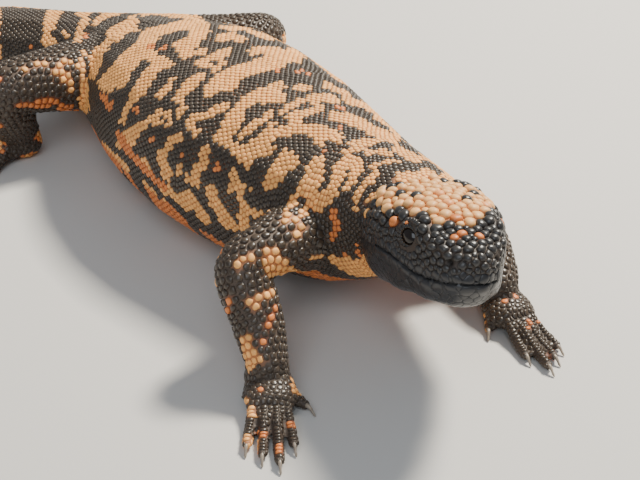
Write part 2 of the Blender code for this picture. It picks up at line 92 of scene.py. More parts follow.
LEGS = {
    "front_right": ((-2.4, -9.3, 4.0), (-4.3, -10.0, 4.4), (-5.95, -10.3, 4.1), (-6.1, -11.5, 2.6), (-6.45, -12.8, 1.3)),
    "front_left": ((2.6, -9.2, 3.7), (4.3, -10.1, 2.9), (5.3, -10.9, 2.0), (4.9, -12.3, 1.7), (4.35, -13.6, 1.25)),
    "hind_right": ((-1.9, 9.0, 3.4), (-4.8, 8.6, 4.0), (-7.4, 8.6, 4.1), (-7.1, 9.1, 2.6), (-6.5, 9.5, 1.2)),
    "hind_left": ((1.8, 9.0, 3.4), (4.3, 8.1, 3.55), (6.2, 7.7, 3.6), (6.9, 9.3, 2.6), (7.1, 10.9, 1.25)),
}
LEG_RADII = {"front": (1.65, 1.15, 1.08, 1.04, 0.84), "hind": (2.00, 1.55, 1.25, 1.22, 0.95)}
HEADINGS = {"front_right": -27, "front_left": -13, "hind_right": -105, "hind_left": 22}
SPREADS = {"front_right": 0.95, "front_left": 0.8, "hind_right": 1.0, "hind_left": 1.0}
TOES = {  # forward, inward, degrees inwards, length
    "front": (
        (0.35, 0.58, 38, 1.10),
        (1.30, 0.54, 3, 2.00),
        (1.45, 0.16, -3, 2.75),
        (1.40, -0.26, -8, 2.35),
        (1.15, -0.66, -13, 2.05),
    ),
    "hind": (
        (0.75, 0.70, 44, 1.25),
        (1.40, 0.62, 17, 1.95),
        (1.55, 0.20, 4, 2.60),
        (1.50, -0.26, -8, 2.60),
        (1.00, -0.70, -30, 2.00),
    ),
}
TOE_RISE = (0.46, 0.60, 0.58, 0.38, 0.26, 0.24)
TOE_THICKNESS = (0.255, 0.242, 0.234, 0.222, 0.234, 0.212)  # half widths from palm to tip
TOE_END = 0.18  # the soft tip reaches a little over the root of the claw
PALM_ENDS = {"front": 1.72, "hind": 1.95}
PALM_BLEND = 0.34  # how far on each side of that the toes run into the palm
PALM_PASSES = 16

toe_lines = []
feet_axes = {}
for leg, bones in LEGS.items():
    heading = radians(HEADINGS[leg])
    spread = SPREADS[leg]
    ahead = Vector((sin(heading), -cos(heading), 0))
    inner = Vector((cos(heading), sin(heading), 0)) * (1 if leg.endswith("right") else -1)
    wrist = Vector((bones[-1][0], bones[-1][1], 0))
    feet_axes[leg] = (wrist, ahead)
    for forward, inward, splay, length in TOES[leg.split("_")[0]]:
        turn = radians(splay * spread)
        way = (ahead * cos(turn) + inner * sin(turn)).normalized()
        start = wrist + ahead * forward + inner * inward * spread
        line = []
        for i, rise in enumerate(TOE_RISE):
            share = i / (len(TOE_RISE) - 1)
            reach = (length + TOE_END) * share - 0.3 * (1 - share)
            line.append(tuple(start + way * reach + Vector((0, 0, rise))))
        toe_lines.append(line)
toe_tips = [Vector(line[-1]) * 0.01 for line in toe_lines]

FLESH = sorted(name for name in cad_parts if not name.startswith(("claw", "eye")))


def show(name, mesh):
    """Puts a mesh into the scene as an object of its own."""
    made = bpy.data.objects.new(name.replace(" ", "_"), mesh)
    bpy.context.scene.collection.objects.link(made)
    return made


def places_of(mesh):
    flat = np.empty(len(mesh.vertices) * 3, np.float32)
    mesh.vertices.foreach_get("co", flat)
    return flat.reshape(-1, 3).astype(float)


def normals_of(mesh):
    flat = np.empty(len(mesh.vertices) * 3, np.float32)
    mesh.vertex_normals.foreach_get("vector", flat)
    return flat.reshape(-1, 3).astype(float)


def put_places(mesh, places):
    mesh.vertices.foreach_set("co", places.astype(np.float32).ravel())
    mesh.update()


def edges_of(mesh):
    flat = np.empty(len(mesh.edges) * 2, np.int32)
    mesh.edges.foreach_get("vertices", flat)
    return flat.reshape(-1, 2)


def mean_of_neighbours(values, edges, count):
    sums = np.empty_like(values)
    for axis in range(values.shape[1]):
        one_way = np.bincount(edges[:, 0], values[edges[:, 1], axis], len(values))
        sums[:, axis] = one_way + np.bincount(edges[:, 1], values[edges[:, 0], axis], len(values))
    return sums / count[:, None]


def ease(places, edges, strength, passes):
    """Evens out the facets without letting the shape shrink."""
    count = np.bincount(edges.ravel(), minlength=len(places)).astype(float)
    for _ in range(passes):
        for step in (0.5, -0.53):
            moved = mean_of_neighbours(places, edges, count) - places
            places = places + moved * strength[:, None] * step
    return places


swollen = bmesh.new()
cad_points = []
cad_labels = []
for label, name in enumerate(FLESH):
    part = bmesh.new()
    part.from_mesh(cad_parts[name].data)
    bmesh.ops.remove_doubles(part, verts=part.verts, dist=1e-6)
    part.normal_update()
    cad_points.extend(v.co.copy() for v in part.verts)
    cad_labels.extend([label] * len(part.verts))
    if name.startswith(("hand", "foot")):
        # The toes are drawn anew inside those of the model, with gaps between.
        leg = ("front_" if name.startswith("hand") else "hind_") + name.split("_")[1]
        wrist, ahead = feet_axes[leg]
        bmesh.ops.bisect_plane(
            part,
            geom=part.verts[:] + part.edges[:] + part.faces[:],
            plane_co=(wrist + ahead * PALM_ENDS[leg.split("_")[0]]) * 0.01,
            plane_no=ahead,
            clear_outer=True,
        )
        bmesh.ops.holes_fill(part, edges=[e for e in part.edges if e.is_boundary])
        bmesh.ops.recalc_face_normals(part, faces=part.faces)
    else:
        for v in part.verts:
            v.co += v.normal * SWELL
    piece = bpy.data.meshes.new("swollen part")
    part.to_mesh(piece)
    part.free()
    swollen.from_mesh(piece)
    bpy.data.meshes.remove(piece)
for line in toe_lines:
    for k in range(31):
        at = k / 30 * (len(line) - 1)
        low = min(int(at), len(line) - 2)
        middle = Vector(line[low]).lerp(Vector(line[low + 1]), at - low) * 0.01
        radius = (TOE_THICKNESS[low] + (TOE_THICKNESS[low + 1] - TOE_THICKNESS[low]) * (at - low)) * 0.01
        bmesh.ops.create_icosphere(swollen, subdivisions=2, radius=radius, matrix=Matrix.Translation(middle))
whole = bpy.data.meshes.new("swollen flesh")
swollen.to_mesh(whole)
swollen.free()
shape = show("swollen flesh", whole)
remesh = shape.modifiers.new("one hide", "REMESH")
remesh.mode = "VOXEL"
remesh.voxel_size = SKIN_GRAIN
hide = bpy.data.meshes.new_from_object(shape.evaluated_get(bpy.context.evaluated_depsgraph_get()))
bpy.data.objects.remove(shape)

nearest_label = KDTree(len(cad_points))
for i, point in enumerate(cad_points):
    nearest_label.insert(point, i)
nearest_label.balance()


def labels_at(places):
    """For each point, the number of the part of the model it belongs to."""
    return np.array([cad_labels[nearest_label.find(p)[1]] for p in places])


PART = {name: i for i, name in enumerate(FLESH)}
HEAD_PARTS = (PART["head"], PART["lower_jaw"])
BODY_PARTS = (PART["neck"], PART["trunk"], PART["tail_root"], PART["tail_end"])
FOOT_PARTS = tuple(PART[n] for n in FLESH if n.startswith(("hand", "foot")))

skin_places = places_of(hide)
skin_labels = labels_at(skin_places)
strength = np.where(np.isin(skin_labels, FOOT_PARTS), 0.22, 1.0)
skin_places = ease(skin_places, edges_of(hide), strength, EASING_PASSES)
skin_edges = edges_of(hide)
count = np.bincount(skin_edges.ravel(), minlength=len(skin_places)).astype(float)
blend = np.zeros(len(skin_places))
for leg, (wrist, ahead) in feet_axes.items():
    own = skin_labels == FLESH.index(("hand_" if leg.startswith("front") else "foot_") + leg.split("_")[1])
    along_foot = (skin_places * 100 - np.array(wrist)) @ np.array(ahead)
    blend += own * np.exp(-(((along_foot - PALM_ENDS[leg.split("_")[0]]) / PALM_BLEND) ** 2))
for _ in range(PALM_PASSES):
    moved = mean_of_neighbours(skin_places, skin_edges, count) - skin_places
    skin_places = skin_places + moved * blend[:, None] * 0.6
put_places(hide, skin_places)
depth = np.where(np.isin(skin_labels, FOOT_PARTS), TOE_DEPTH, COAT_DEPTH + SWELL)
put_places(hide, skin_places - normals_of(hide) * depth[:, None])
shape = show("thick skin", hide)
thinned = shape.modifiers.new("thinned", "DECIMATE")
thinned.ratio = SKIN_FACES / len(hide.polygons)
hide = bpy.data.meshes.new_from_object(shape.evaluated_get(bpy.context.evaluated_depsgraph_get()))
hide.name = "skin"
bpy.data.objects.remove(shape)
crumbs = bmesh.new()
crumbs.from_mesh(hide)
shells = []
reached = set()
for v in crumbs.verts:
    if v in reached:
        continue
    shell = [v]
    reached.add(v)
    for at in shell:
        for edge in at.link_edges:
            other = edge.other_vert(at)
            if other not in reached:
                reached.add(other)
                shell.append(other)
    shells.append(shell)
shells.sort(key=len)
bmesh.ops.delete(crumbs, geom=[v for shell in shells[:-1] for v in shell], context="VERTS")
crumbs.to_mesh(hide)
crumbs.free()
skin_places = places_of(hide)
skin_labels = labels_at(skin_places)
skin_edges = edges_of(hide)

# The head's own frame: forward, to the animal's left, and up. The face is laid
# out in it, as the model is turned to one side with its chin lifted.
CM = 0.01
HEAD_AT = Vector((0.90, -12.32, 4.75))
HEAD_TURN = radians(20)
HEAD_LIFT = radians(17.5)
HEAD_TILT = radians(-5)
MOUTH_LINE = (
    (8.2, -0.42),
    (7.0, -0.40),
    (5.8, -0.48),
    (5.2, -0.42),
    (4.6, -0.23),
    (4.0, -0.03),
    (3.4, 0.06),
    (2.75, 0.09),
)


def head_frame():
    level = Vector((-sin(HEAD_TURN), -cos(HEAD_TURN), 0)) * cos(HEAD_LIFT)
    ahead = level + Vector((0, 0, sin(HEAD_LIFT)))
    left = Vector((cos(HEAD_TURN), -sin(HEAD_TURN), 0))
    up = ahead.cross(left).normalized()
    turned = Matrix((ahead, left, up)).transposed().to_4x4()
    return Matrix.Translation(HEAD_AT * CM) @ turned @ Matrix.Rotation(HEAD_TILT, 4, "X") @ Matrix.Scale(CM, 4)


from_head = head_frame()
to_head = np.array(from_head.inverted())


def head_places(places):
    """Points of the model as (forward, left, up) in the head's frame, in centimetres."""
    return places @ to_head[:3, :3].T + to_head[:3, 3]


def mouth_height(forward):
    ahead, height = zip(*reversed(MOUTH_LINE))
    return np.interp(forward, ahead, height)


GROOVE_DEPTH = 0.85 * MM
GROOVE_WIDTH = 0.034
LIP_SWELL = 0.40 * MM
LIP_WIDTH = 0.16
NOSTRIL_PIXEL = (449.7, 262.3)
NOSTRIL_DEPTH = 1.9 * MM
NOSTRIL_WIDTH = 0.110
EAR_AT = (0.95, 2.55, 0.10)
EAR_DEPTH = 1.6 * MM


def tree_of(mesh):
    copied = bmesh.new()
    copied.from_mesh(mesh)
    made = BVHTree.FromBMesh(copied)
    copied.free()
    return made


def seen_at(tree, pixel):
    """The point of the skin that the photograph shows at a pixel."""
    right = Vector((cos(CAMERA_TURN), -sin(CAMERA_TURN), 0.0))
    up = right.cross(look)
    way = look + right * (pixel[0] - PHOTO_WIDTH / 2) / FOCAL_PIXELS - up * (pixel[1] - PHOTO_HEIGHT / 2) / FOCAL_PIXELS
    return tree.ray_cast(CAMERA_AT, way.normalized())[0]


# The underside of the jaw is one smooth, full curve.
JAW_PASSES = 24
local = head_places(skin_places)
count = np.bincount(skin_edges.ravel(), minlength=len(skin_places)).astype(float)
full = np.clip((mouth_height(local[:, 0]) - local[:, 2] - 0.06) / 0.2, 0, 1) * np.clip((local[:, 0] + 0.6) / 1.2, 0, 1)
full = (full * np.isin(skin_labels, HEAD_PARTS))[:, None]
for _ in range(JAW_PASSES):
    skin_places = skin_places + (mean_of_neighbours(skin_places, skin_edges, count) - skin_places) * full * 0.5
put_places(hide, skin_places)
nostril = seen_at(tree_of(hide), NOSTRIL_PIXEL)
nostril_local = from_head.inverted() @ nostril
nostrils = [np.array(nostril_local), np.array(nostril_local) * (1, -1, 1)]
closer = bmesh.new()
closer.from_mesh(hide)
for reach in (0.30, 0.20):
    local = head_places(np.array([v.co for v in closer.verts]))
    by_mouth = np.abs(local[:, 2] - mouth_height(local[:, 0])) < reach
    wanted = by_mouth & (local[:, 0] > 2.4) & (local[:, 0] < 8.4) & (np.abs(local[:, 1]) < 3.2)
    for spot in nostrils:
        wanted |= np.linalg.norm(local - spot, axis=1) < reach
    closer.verts.index_update()
    split = [e for e in closer.edges if wanted[e.verts[0].index] and wanted[e.verts[1].index]]
    bmesh.ops.subdivide_edges(closer, edges=split, cuts=1, smooth=0.6, use_grid_fill=True)
    bmesh.ops.triangulate(closer, faces=[f for f in closer.faces if len(f.verts) > 3])
closer.to_mesh(hide)
closer.free()
skin_places = places_of(hide)
skin_labels = labels_at(skin_places)
skin_edges = edges_of(hide)
skin_normals = normals_of(hide)
local = head_places(skin_places)
off_line = local[:, 2] - mouth_height(local[:, 0])
fade = np.clip((local[:, 0] - 2.5) / 0.5, 0, 1) * np.isin(skin_labels, HEAD_PARTS)
push = -GROOVE_DEPTH * np.exp(-((off_line / GROOVE_WIDTH) ** 2))
push += LIP_SWELL * np.exp(-(((off_line + 0.24) / LIP_WIDTH) ** 2))
push += 0.6 * LIP_SWELL * np.exp(-(((off_line - 0.20) / LIP_WIDTH) ** 2))
push *= fade
for spot in nostrils:
    push -= NOSTRIL_DEPTH * np.exp(-np.sum(((local - spot) / NOSTRIL_WIDTH) ** 2, axis=1))
for hand in (1, -1):
    spot = local - np.array(EAR_AT) * (1, hand, 1)
    slant = np.stack([spot[:, 0] * 0.9 + spot[:, 2] * 0.44, spot[:, 2] * 0.9 - spot[:, 0] * 0.44, spot[:, 1] * 0.35], axis=1)
    push -= EAR_DEPTH * np.exp(-np.sum((slant / (0.10, 0.24, 0.3)) ** 2, axis=1))
skin_places = skin_places + skin_normals * push[:, None]
put_places(hide, skin_places)
skin_normals = normals_of(hide)

surface = tree_of(hide)
skin_kd = KDTree(len(skin_places))
for i, p in enumerate(skin_places):
    skin_kd.insert(p, i)
skin_kd.balance()

# Soft directions of the skin, without the little bumps of its grain.
edge_count = np.bincount(skin_edges.ravel(), minlength=len(skin_places)).astype(float)
for _ in range(3):
    skin_normals = skin_normals + mean_of_neighbours(skin_normals, skin_edges, edge_count)
    skin_normals /= np.linalg.norm(skin_normals, axis=1)[:, None]

# The roots of the scales. Beads stand in rings round body, legs and toes, each
# ring half a bead on from the last; the face and the palms are packed freely.
SPINE = (
    (0.70, -13.6, 5.05, 2.15),
    (0.80, -12.0, 4.85, 2.50),
    (0.60, -10.4, 4.50, 3.05),
    (0.30, -8.4, 4.15, 3.68),
    (0.12, -5.2, 3.92, 4.48),
    (0.00, -1.2, 3.85, 5.15),
    (0.00, 3.0, 3.75, 5.00),
    (0.00, 6.6, 3.45, 4.20),
    (-0.15, 9.4, 3.10, 3.35),
    (-0.60, 11.8, 2.75, 2.65),
    (-1.70, 14.4, 2.35, 2.30),
    (-3.90, 17.8, 2.05, 2.15),
    (-7.00, 20.8, 1.75, 1.90),
    (-10.40, 22.8, 1.30, 1.42),
    (-13.10, 23.6, 0.88, 0.90),
    (-14.70, 23.7, 0.55, 0.45),
)
BACK_PITCH = 0.265
BACK_ROW = 0.172
BELLY_PITCH = 0.34
TAIL_PITCH = 0.27
TAIL_ROW = 0.23
NECK_PITCH = 0.235
NECK_ROW = 0.16
ARM_PITCH = 0.37
ARM_ROW = 0.30
TOE_PITCH = 0.36
TOE_ROW = 0.165

roots = []  # place, direction along the ring, pitch, row height


def through(points, step):
    """Evenly spaced stations on a smooth curve through points, with the way it runs."""
    points = np.array(points, float)
    count = len(points)
    fine = []
    for i in range(count - 1):
        p0 = points[max(i - 1, 0)]
        p1 = points[i]
        p2 = points[i + 1]
        p3 = points[min(i + 2, count - 1)]
        for t in np.linspace(0, 1, 40, endpoint=False):
            bend = (2 * p0 - 5 * p1 + 4 * p2 - p3) * t * t + (3 * p1 - p0 - 3 * p2 + p3) * t**3
            fine.append(0.5 * (2 * p1 + (p2 - p0) * t + bend))
    fine.append(points[-1])
    fine = np.array(fine)
    lengths = np.concatenate([[0], np.cumsum(np.linalg.norm(np.diff(fine[:, :3], axis=0), axis=1))])
    stations = []
    at = 0.0
    while at < lengths[-1]:
        row = np.array([np.interp(at, lengths, fine[:, k]) for k in range(fine.shape[1])])
        before = np.array([np.interp(at - 0.25, lengths, fine[:, k]) for k in range(3)])
        after = np.array([np.interp(at + 0.25, lengths, fine[:, k]) for k in range(3)])
        stations.append((row, (after - before) / np.linalg.norm(after - before), at))
        at += step(at, row) if callable(step) else step
    return stations


def ring(centre, way, reach, pitch_of, start, up=(0, 0, 1), last=None):
    """Places equally spaced round the body where a plane across it meets the skin."""
    rays = 200
    way = Vector(way)
    side = way.cross(Vector(up)).normalized()
    top = side.cross(way).normalized()
    middle = Vector(centre) * CM
    hits = []
    for k in range(rays):
        angle = 2 * pi * k / rays
        hit = surface.ray_cast(middle, side * sin(angle) + top * cos(angle), reach * CM)
        hits.append(None if hit[0] is None else hit[0])
    found = []
    travelled = 0.0
    due = start
    for k in range(rays):
        a = hits[k]
        b = hits[(k + 1) % rays]
        if a is None or b is None or (b - a).length > 1.2 * CM:
            travelled += 0.01
            continue
        angle = 2 * pi * (k + 0.5) / rays
        pitch = pitch_of(cos(angle))
        step = (b - a).length / CM / pitch
        while due < travelled + step:
            share = (due - travelled) / step
            found.append((a.lerp(b, share), (b - a).normalized(), pitch))
            due += 1.0
        travelled += step
    whole_count = max(round(travelled), 1)
    if last and abs(last - travelled) < 0.06 * travelled:
        whole_count = last
    if all(h is not None for h in hits) and whole_count > 3:
        # The ring closes, so the beads are shared out without a narrow one.
        stretch = travelled / whole_count
        found = []
        travelled = 0.0
        due = start * stretch
        for k in range(rays):
            a = hits[k]
            b = hits[(k + 1) % rays]
            pitch = pitch_of(cos(2 * pi * (k + 0.5) / rays))
            step = (b - a).length / CM / pitch
            while due < travelled + step and len(found) < whole_count:
                share = (due - travelled) / step
                found.append((a.lerp(b, share), (b - a).normalized(), pitch * stretch))
                due += stretch
            travelled += step
    return found


def spine_row(at, row):
    if row[1] < -10:
        return NECK_ROW
    if row[1] > 11:
        return TAIL_ROW
    return BACK_ROW


def spine_pitch(row):
    def pitch_of(height):
        pitch = BACK_PITCH
        if row[1] < -10:
            pitch = NECK_PITCH
        if row[1] > 11:
            pitch = min(TAIL_PITCH, 0.13 + row[3] * 0.1)
        if height < -0.75 and -9 < row[1] < 11:
            return BELLY_PITCH
        return pitch

    return pitch_of


found = []
for count, (row, way, at) in enumerate(through(SPINE, spine_row)):
    if row[1] < -12.6:
        continue
    found = ring(row[:3], way, row[3] * 1.22 + 0.1, spine_pitch(row), 0.25 + 0.5 * (count % 2), last=len(found))
    for place, along, pitch in found:
        roots.append((place, along, pitch, spine_row(at, row)))
body_count = len(roots)

for leg, bones in LEGS.items():
    radii = LEG_RADII[leg.split("_")[0]]
    path = [(*bone, radius) for bone, radius in zip(bones, radii)]
    found = []
    for count, (row, way, at) in enumerate(through(path, ARM_ROW)):
        shrink = min(1.0, 0.62 + 0.16 * (3 + len(path) - at))
        start = 0.25 + 0.5 * (count % 2)
        found = ring(row[:3], way, row[3] * 1.5, lambda h: ARM_PITCH * shrink, start, (0.3, 0.1, 1), len(found))
        for place, along, pitch in found:
            roots.append((place, along, pitch, ARM_ROW))

for line in toe_lines:
    for count, (row, direction, at) in enumerate(through(line, TOE_ROW)):
        found = ring(row[:3], direction, 0.33, lambda h: TOE_PITCH, 0.0)
        for place, along, pitch in found:
            roots.append((place, along, pitch, TOE_ROW))

# Rows that the eye picks out on the face: the plates along both lips.
LIP_PLATE = 0.46
lip_points = []
for hand in (1, -1):
    for lift, plate in ((0.19, LIP_PLATE), (-0.25, LIP_PLATE * 1.3)):
        trail = []
        for k in range(130):
            angle = radians(k)
            forward = 4.0 + 3.0 * cos(angle)
            for _ in range(2):
                height = mouth_height(forward) + lift
                start = from_head @ Vector((4.0, 0, height))
                end = from_head @ Vector((4.0 + 5 * cos(angle), hand * 5 * sin(angle), height))
                hit = surface.ray_cast(start, (end - start).normalized(), 0.08)
                if hit[0] is None:
                    break
                forward = (from_head.inverted() @ hit[0]).x
            if hit[0] is None or forward < 3.2:
                break
            trail.append(hit[0])
        travelled = -plate * 0.5
        for a, b in zip(trail[:-1], trail[1:]):
            travelled += (b - a).length / CM
            if travelled >= 0:
                lip_points.append((b.copy(), (b - a).normalized(), plate, 0.36))
                travelled -= plate



def head_pitch(local):
    """How far apart the beads of the head stand: widest on the crown, finest round eyes and lips."""
    forward, left, up = local.T
    pitch = 0.35 + 0.11 * np.clip((up - 0.7) / 0.5, 0, 1)
    pitch = np.where(forward < 0.4, np.minimum(pitch, 0.25 + 0.15 * np.clip((forward + 0.8) / 1.2, 0, 1)), pitch)
    pitch = np.where(forward > 5.7, np.minimum(pitch, 0.36), pitch)
    below = mouth_height(forward) - up
    pitch = np.where((below > 0.0), 0.40, pitch)
    pitch = np.where((below > 1.3), 0.33, pitch)
    pitch = np.where((below < 0) & (below > -0.5) & (forward > 2.5), 0.27, pitch)
    to_eye = np.linalg.norm(local - np.array((4.65, 0, 0.8)) - np.sign(left)[:, None] * np.array((0, 1.85, 0)), axis=1)
    pitch = np.where(to_eye < 0.70, 0.20, pitch)
    return pitch


# The free places: random ones on the skin, kept where no bead stands yet.
rng = np.random.default_rng(7)
hide.calc_loop_triangles()
tri_flat = np.empty(len(hide.loop_triangles) * 3, np.int32)
hide.loop_triangles.foreach_get("vertices", tri_flat)
triangles = tri_flat.reshape(-1, 3)
corners = skin_places[triangles]
areas = 0.5 * np.linalg.norm(np.cross(corners[:, 1] - corners[:, 0], corners[:, 2] - corners[:, 0]), axis=1)
FREE_TRIES = 260000
weight = areas * np.where(np.isin(skin_labels[triangles[:, 0]], HEAD_PARTS + FOOT_PARTS), 5.0, 1.0)
chosen = rng.choice(len(triangles), FREE_TRIES, p=weight / weight.sum())
shares = rng.random((FREE_TRIES, 2))
flip = shares.sum(axis=1) > 1
shares[flip] = 1 - shares[flip]
tri = corners[chosen]
tries = tri[:, 0] + (tri[:, 1] - tri[:, 0]) * shares[:, :1] + (tri[:, 2] - tri[:, 0]) * shares[:, 1:]
try_labels = skin_labels[triangles[chosen, 0]]
eye_centres = []
for name in ("eye_right", "eye_left"):
    low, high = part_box(name)
    eye_centres.append((low + high) / 2)

SOCKET_REACH = 4.7 * MM

lookup = {}
CELL = 4.4 * MM


def cell_of(p):
    return (int(p[0] // CELL), int(p[1] // CELL), int(p[2] // CELL))


def crowded(p, reach):
    cx, cy, cz = cell_of(p)
    limit = reach * reach
    for dx in (-1, 0, 1):
        for dy in (-1, 0, 1):
            for dz in (-1, 0, 1):
                for q in lookup.get((cx + dx, cy + dy, cz + dz), ()):
                    if (p[0] - q[0]) ** 2 + (p[1] - q[1]) ** 2 + (p[2] - q[2]) ** 2 < limit:
                        return True
    return False


def in_a_socket(p):
    return any((Vector(p) - centre).length < SOCKET_REACH for centre in eye_centres)


kept = []
for place, along, pitch, row in lip_points:
    if crowded(place, pitch * CM * 0.6):
        continue
    lookup.setdefault(cell_of(place), []).append(tuple(place))
    kept.append((place, along, pitch, row, "lip"))
ring_labels = labels_at([r[0] for r in roots])
for (place, along, pitch, row), label in zip(roots, ring_labels):
    if label in HEAD_PARTS or crowded(place, min(pitch, row) * CM * 0.72):
        continue
    lookup.setdefault(cell_of(place), []).append(tuple(place))
    kept.append((place, along, pitch, row, "ring"))
ring_count = len(kept)
try_head = np.isin(try_labels, HEAD_PARTS)
try_local = head_places(tries)
try_pitch = np.full(FREE_TRIES, BACK_PITCH)
try_pitch[np.isin(try_labels, FOOT_PARTS)] = 0.27
try_pitch = np.where(np.array([FLESH[l].startswith(("upper", "fore", "thigh", "shin")) for l in range(len(FLESH))])[try_labels], 0.31, try_pitch)
try_pitch[try_head] = head_pitch(try_local[try_head])
for p, pitch, is_head in zip(tries, try_pitch, try_head):
    if crowded(p, pitch * CM * (0.80 if is_head else 0.76)) or (is_head and in_a_socket(p)):
        continue
    if is_head:
        local_p = to_head[:3, :3] @ p + to_head[:3, 3]
        if local_p[0] > 2.8 and abs(local_p[2] - mouth_height(local_p[0])) < 0.16:
            continue
        if min(np.linalg.norm(local_p - spot) for spot in nostrils) < 0.17:
            continue
    lookup.setdefault(cell_of(p), []).append(tuple(p))
    kept.append((Vector(p), None, pitch, pitch, "free"))
# Small beads fill what is left between the larger ones.
FILLER_SHARE = 0.62
fill_here = np.isin(try_labels, HEAD_PARTS + FOOT_PARTS + (PART["neck"],))
for p, pitch, is_head in zip(tries[fill_here], try_pitch[fill_here] * FILLER_SHARE, try_head[fill_here]):
    if crowded(p, pitch * CM * 1.12) or (is_head and in_a_socket(p)):
        continue
    if is_head:
        local_p = to_head[:3, :3] @ p + to_head[:3, 3]
        if local_p[0] > 2.8 and abs(local_p[2] - mouth_height(local_p[0])) < 0.13:
            continue
    lookup.setdefault(cell_of(p), []).append(tuple(p))
    kept.append((Vector(p), None, pitch, pitch, "free"))

places = np.array([k[0] for k in kept])
pitches = np.array([k[2] for k in kept]) * CM
rows = np.array([k[3] for k in kept]) * CM
kinds = np.array([k[4] for k in kept])
free = np.flatnonzero(kinds == "free")

# The free beads push each other apart until they are evenly packed.
RELAX_PASSES = 6
for _ in range(RELAX_PASSES):
    tree = KDTree(len(places))
    for i, p in enumerate(places):
        tree.insert(p, i)
    tree.balance()
    moved = places.copy()
    for i in free:
        push = np.zeros(3)
        for other, j, gap in tree.find_n(places[i], 8):
            if j == i or gap < 1e-7:
                continue
            room = 0.5 * (pitches[i] + pitches[j]) * 1.04
            if gap < room:
                push += (places[i] - places[j]) / gap * (room - gap)
        target = surface.find_nearest(Vector(places[i] + push * 0.35))
        moved[i] = target[0]
    places = moved

labels = labels_at(places)
nearest = [skin_kd.find(p)[1] for p in places]
normals = skin_normals[nearest]
JITTER = 0.05
wander = rng.standard_normal(places.shape) * (pitches * JITTER * (kinds != "lip"))[:, None]
places = places + wander - normals * np.sum(wander * normals, axis=1)[:, None]

# The eyelids carry rows of their finest beads: how far from the middle of the
# eye, how high over the cheek, how far they lean outwards, and how many.
LID_ROWS = ((3.05, 0.96, 8, 18), (3.95, 0.42, 38, 18))
LID_OVAL = (1.36, 1.15)
LID_FORWARD = 0.40  # how far the eyes look ahead of the cheek's own side
LID_REACH = 4.6 * MM
NOSTRIL_REACH = 0.20
LID_SLANT = radians(-24)
RIM = (3.9 * MM, 5.6 * MM)  # the ring of cheek that tells how the eye is set
eye_frames = []
lid_roots = []
for centre, hand in zip(eye_centres, (-1, 1)):
    from_eye = np.linalg.norm(skin_places - np.array(centre), axis=1)
    around = (from_eye > RIM[0]) & (from_eye < RIM[1]) & (skin_normals @ (np.array(from_head.to_3x3().col[1]) * hand) > 0)
    ahead = (from_head.to_3x3() @ Vector((1, 0, 0))).normalized()
    outward = (Vector(skin_normals[around].mean(axis=0)).normalized() + ahead * LID_FORWARD).normalized()
    level_with = Vector(skin_places[around].mean(axis=0))
    socket = centre + outward * (level_with - centre).dot(outward)
    level = (ahead - outward * ahead.dot(outward)).normalized()
    oval = Matrix.Rotation(LID_SLANT * -hand, 4, "Z") @ Matrix.Diagonal((*LID_OVAL, 1, 1))
    turned = Matrix((level, outward.cross(level), outward)).transposed().to_4x4()
    eye_frame = Matrix.Translation(socket) @ turned @ oval
    eye_frames.append(eye_frame)
    for radius, height, lean, count in LID_ROWS:
        for k in range(count):
            turn = 2 * pi * (k + 0.5 * (count % 2)) / count
            place = eye_frame @ Vector((radius * MM * cos(turn), radius * MM * sin(turn), height * MM))
            out = (eye_frame.to_3x3() @ Vector((cos(turn), sin(turn), 0))).normalized()
            normal = outward * cos(radians(lean)) + out * sin(radians(lean))
            side = outward.cross(out).normalized()
            lid_roots.append((place, normal, side, 2 * pi * radius / count * 0.1))
to_nostril = np.min([np.linalg.norm(head_places(places) - spot, axis=1) for spot in nostrils], axis=0)
clear = to_nostril > NOSTRIL_REACH
for eye_frame in eye_frames:
    seen_from_eye = np.array([eye_frame.inverted() @ Vector(p) for p in places])
    clear &= (np.hypot(seen_from_eye[:, 0], seen_from_eye[:, 1]) > LID_REACH) | (np.abs(seen_from_eye[:, 2]) > 8 * MM)
clear |= kinds != "free"
kept = [k for k, stays in zip(kept, clear) if stays]
places = places[clear]
normals = normals[clear]
labels = labels[clear]
pitches = pitches[clear]
rows = rows[clear]
kinds = kinds[clear]
free = np.flatnonzero(kinds == "free")
lid_count = len(lid_roots)
places = np.vstack([places, np.array([r[0] for r in lid_roots])])
normals = np.vstack([normals, np.array([r[1] for r in lid_roots])])
pitches = np.concatenate([pitches, np.array([r[3] for r in lid_roots]) * CM])
rows = np.concatenate([rows, np.array([r[3] for r in lid_roots]) * CM])
kinds = np.concatenate([kinds, np.full(lid_count, "lid")])
labels = np.concatenate([labels, np.full(lid_count, PART["head"])])

along = np.array([(k[1] if k[1] is not None else Vector((0, 0, 0))) for k in kept] + [r[2] for r in lid_roots])
tree = KDTree(len(places))
for i, p in enumerate(places):
    tree.insert(p, i)
tree.balance()
ring_tree = KDTree(ring_count)
for i in range(ring_count):
    ring_tree.insert(places[i], i)
ring_tree.balance()
for i in free:
    along[i] = along[ring_tree.find(places[i])[1]]
along -= normals * np.sum(along * normals, axis=1)[:, None]
along /= np.maximum(np.linalg.norm(along, axis=1), 1e-9)[:, None]
across = np.cross(normals, along)

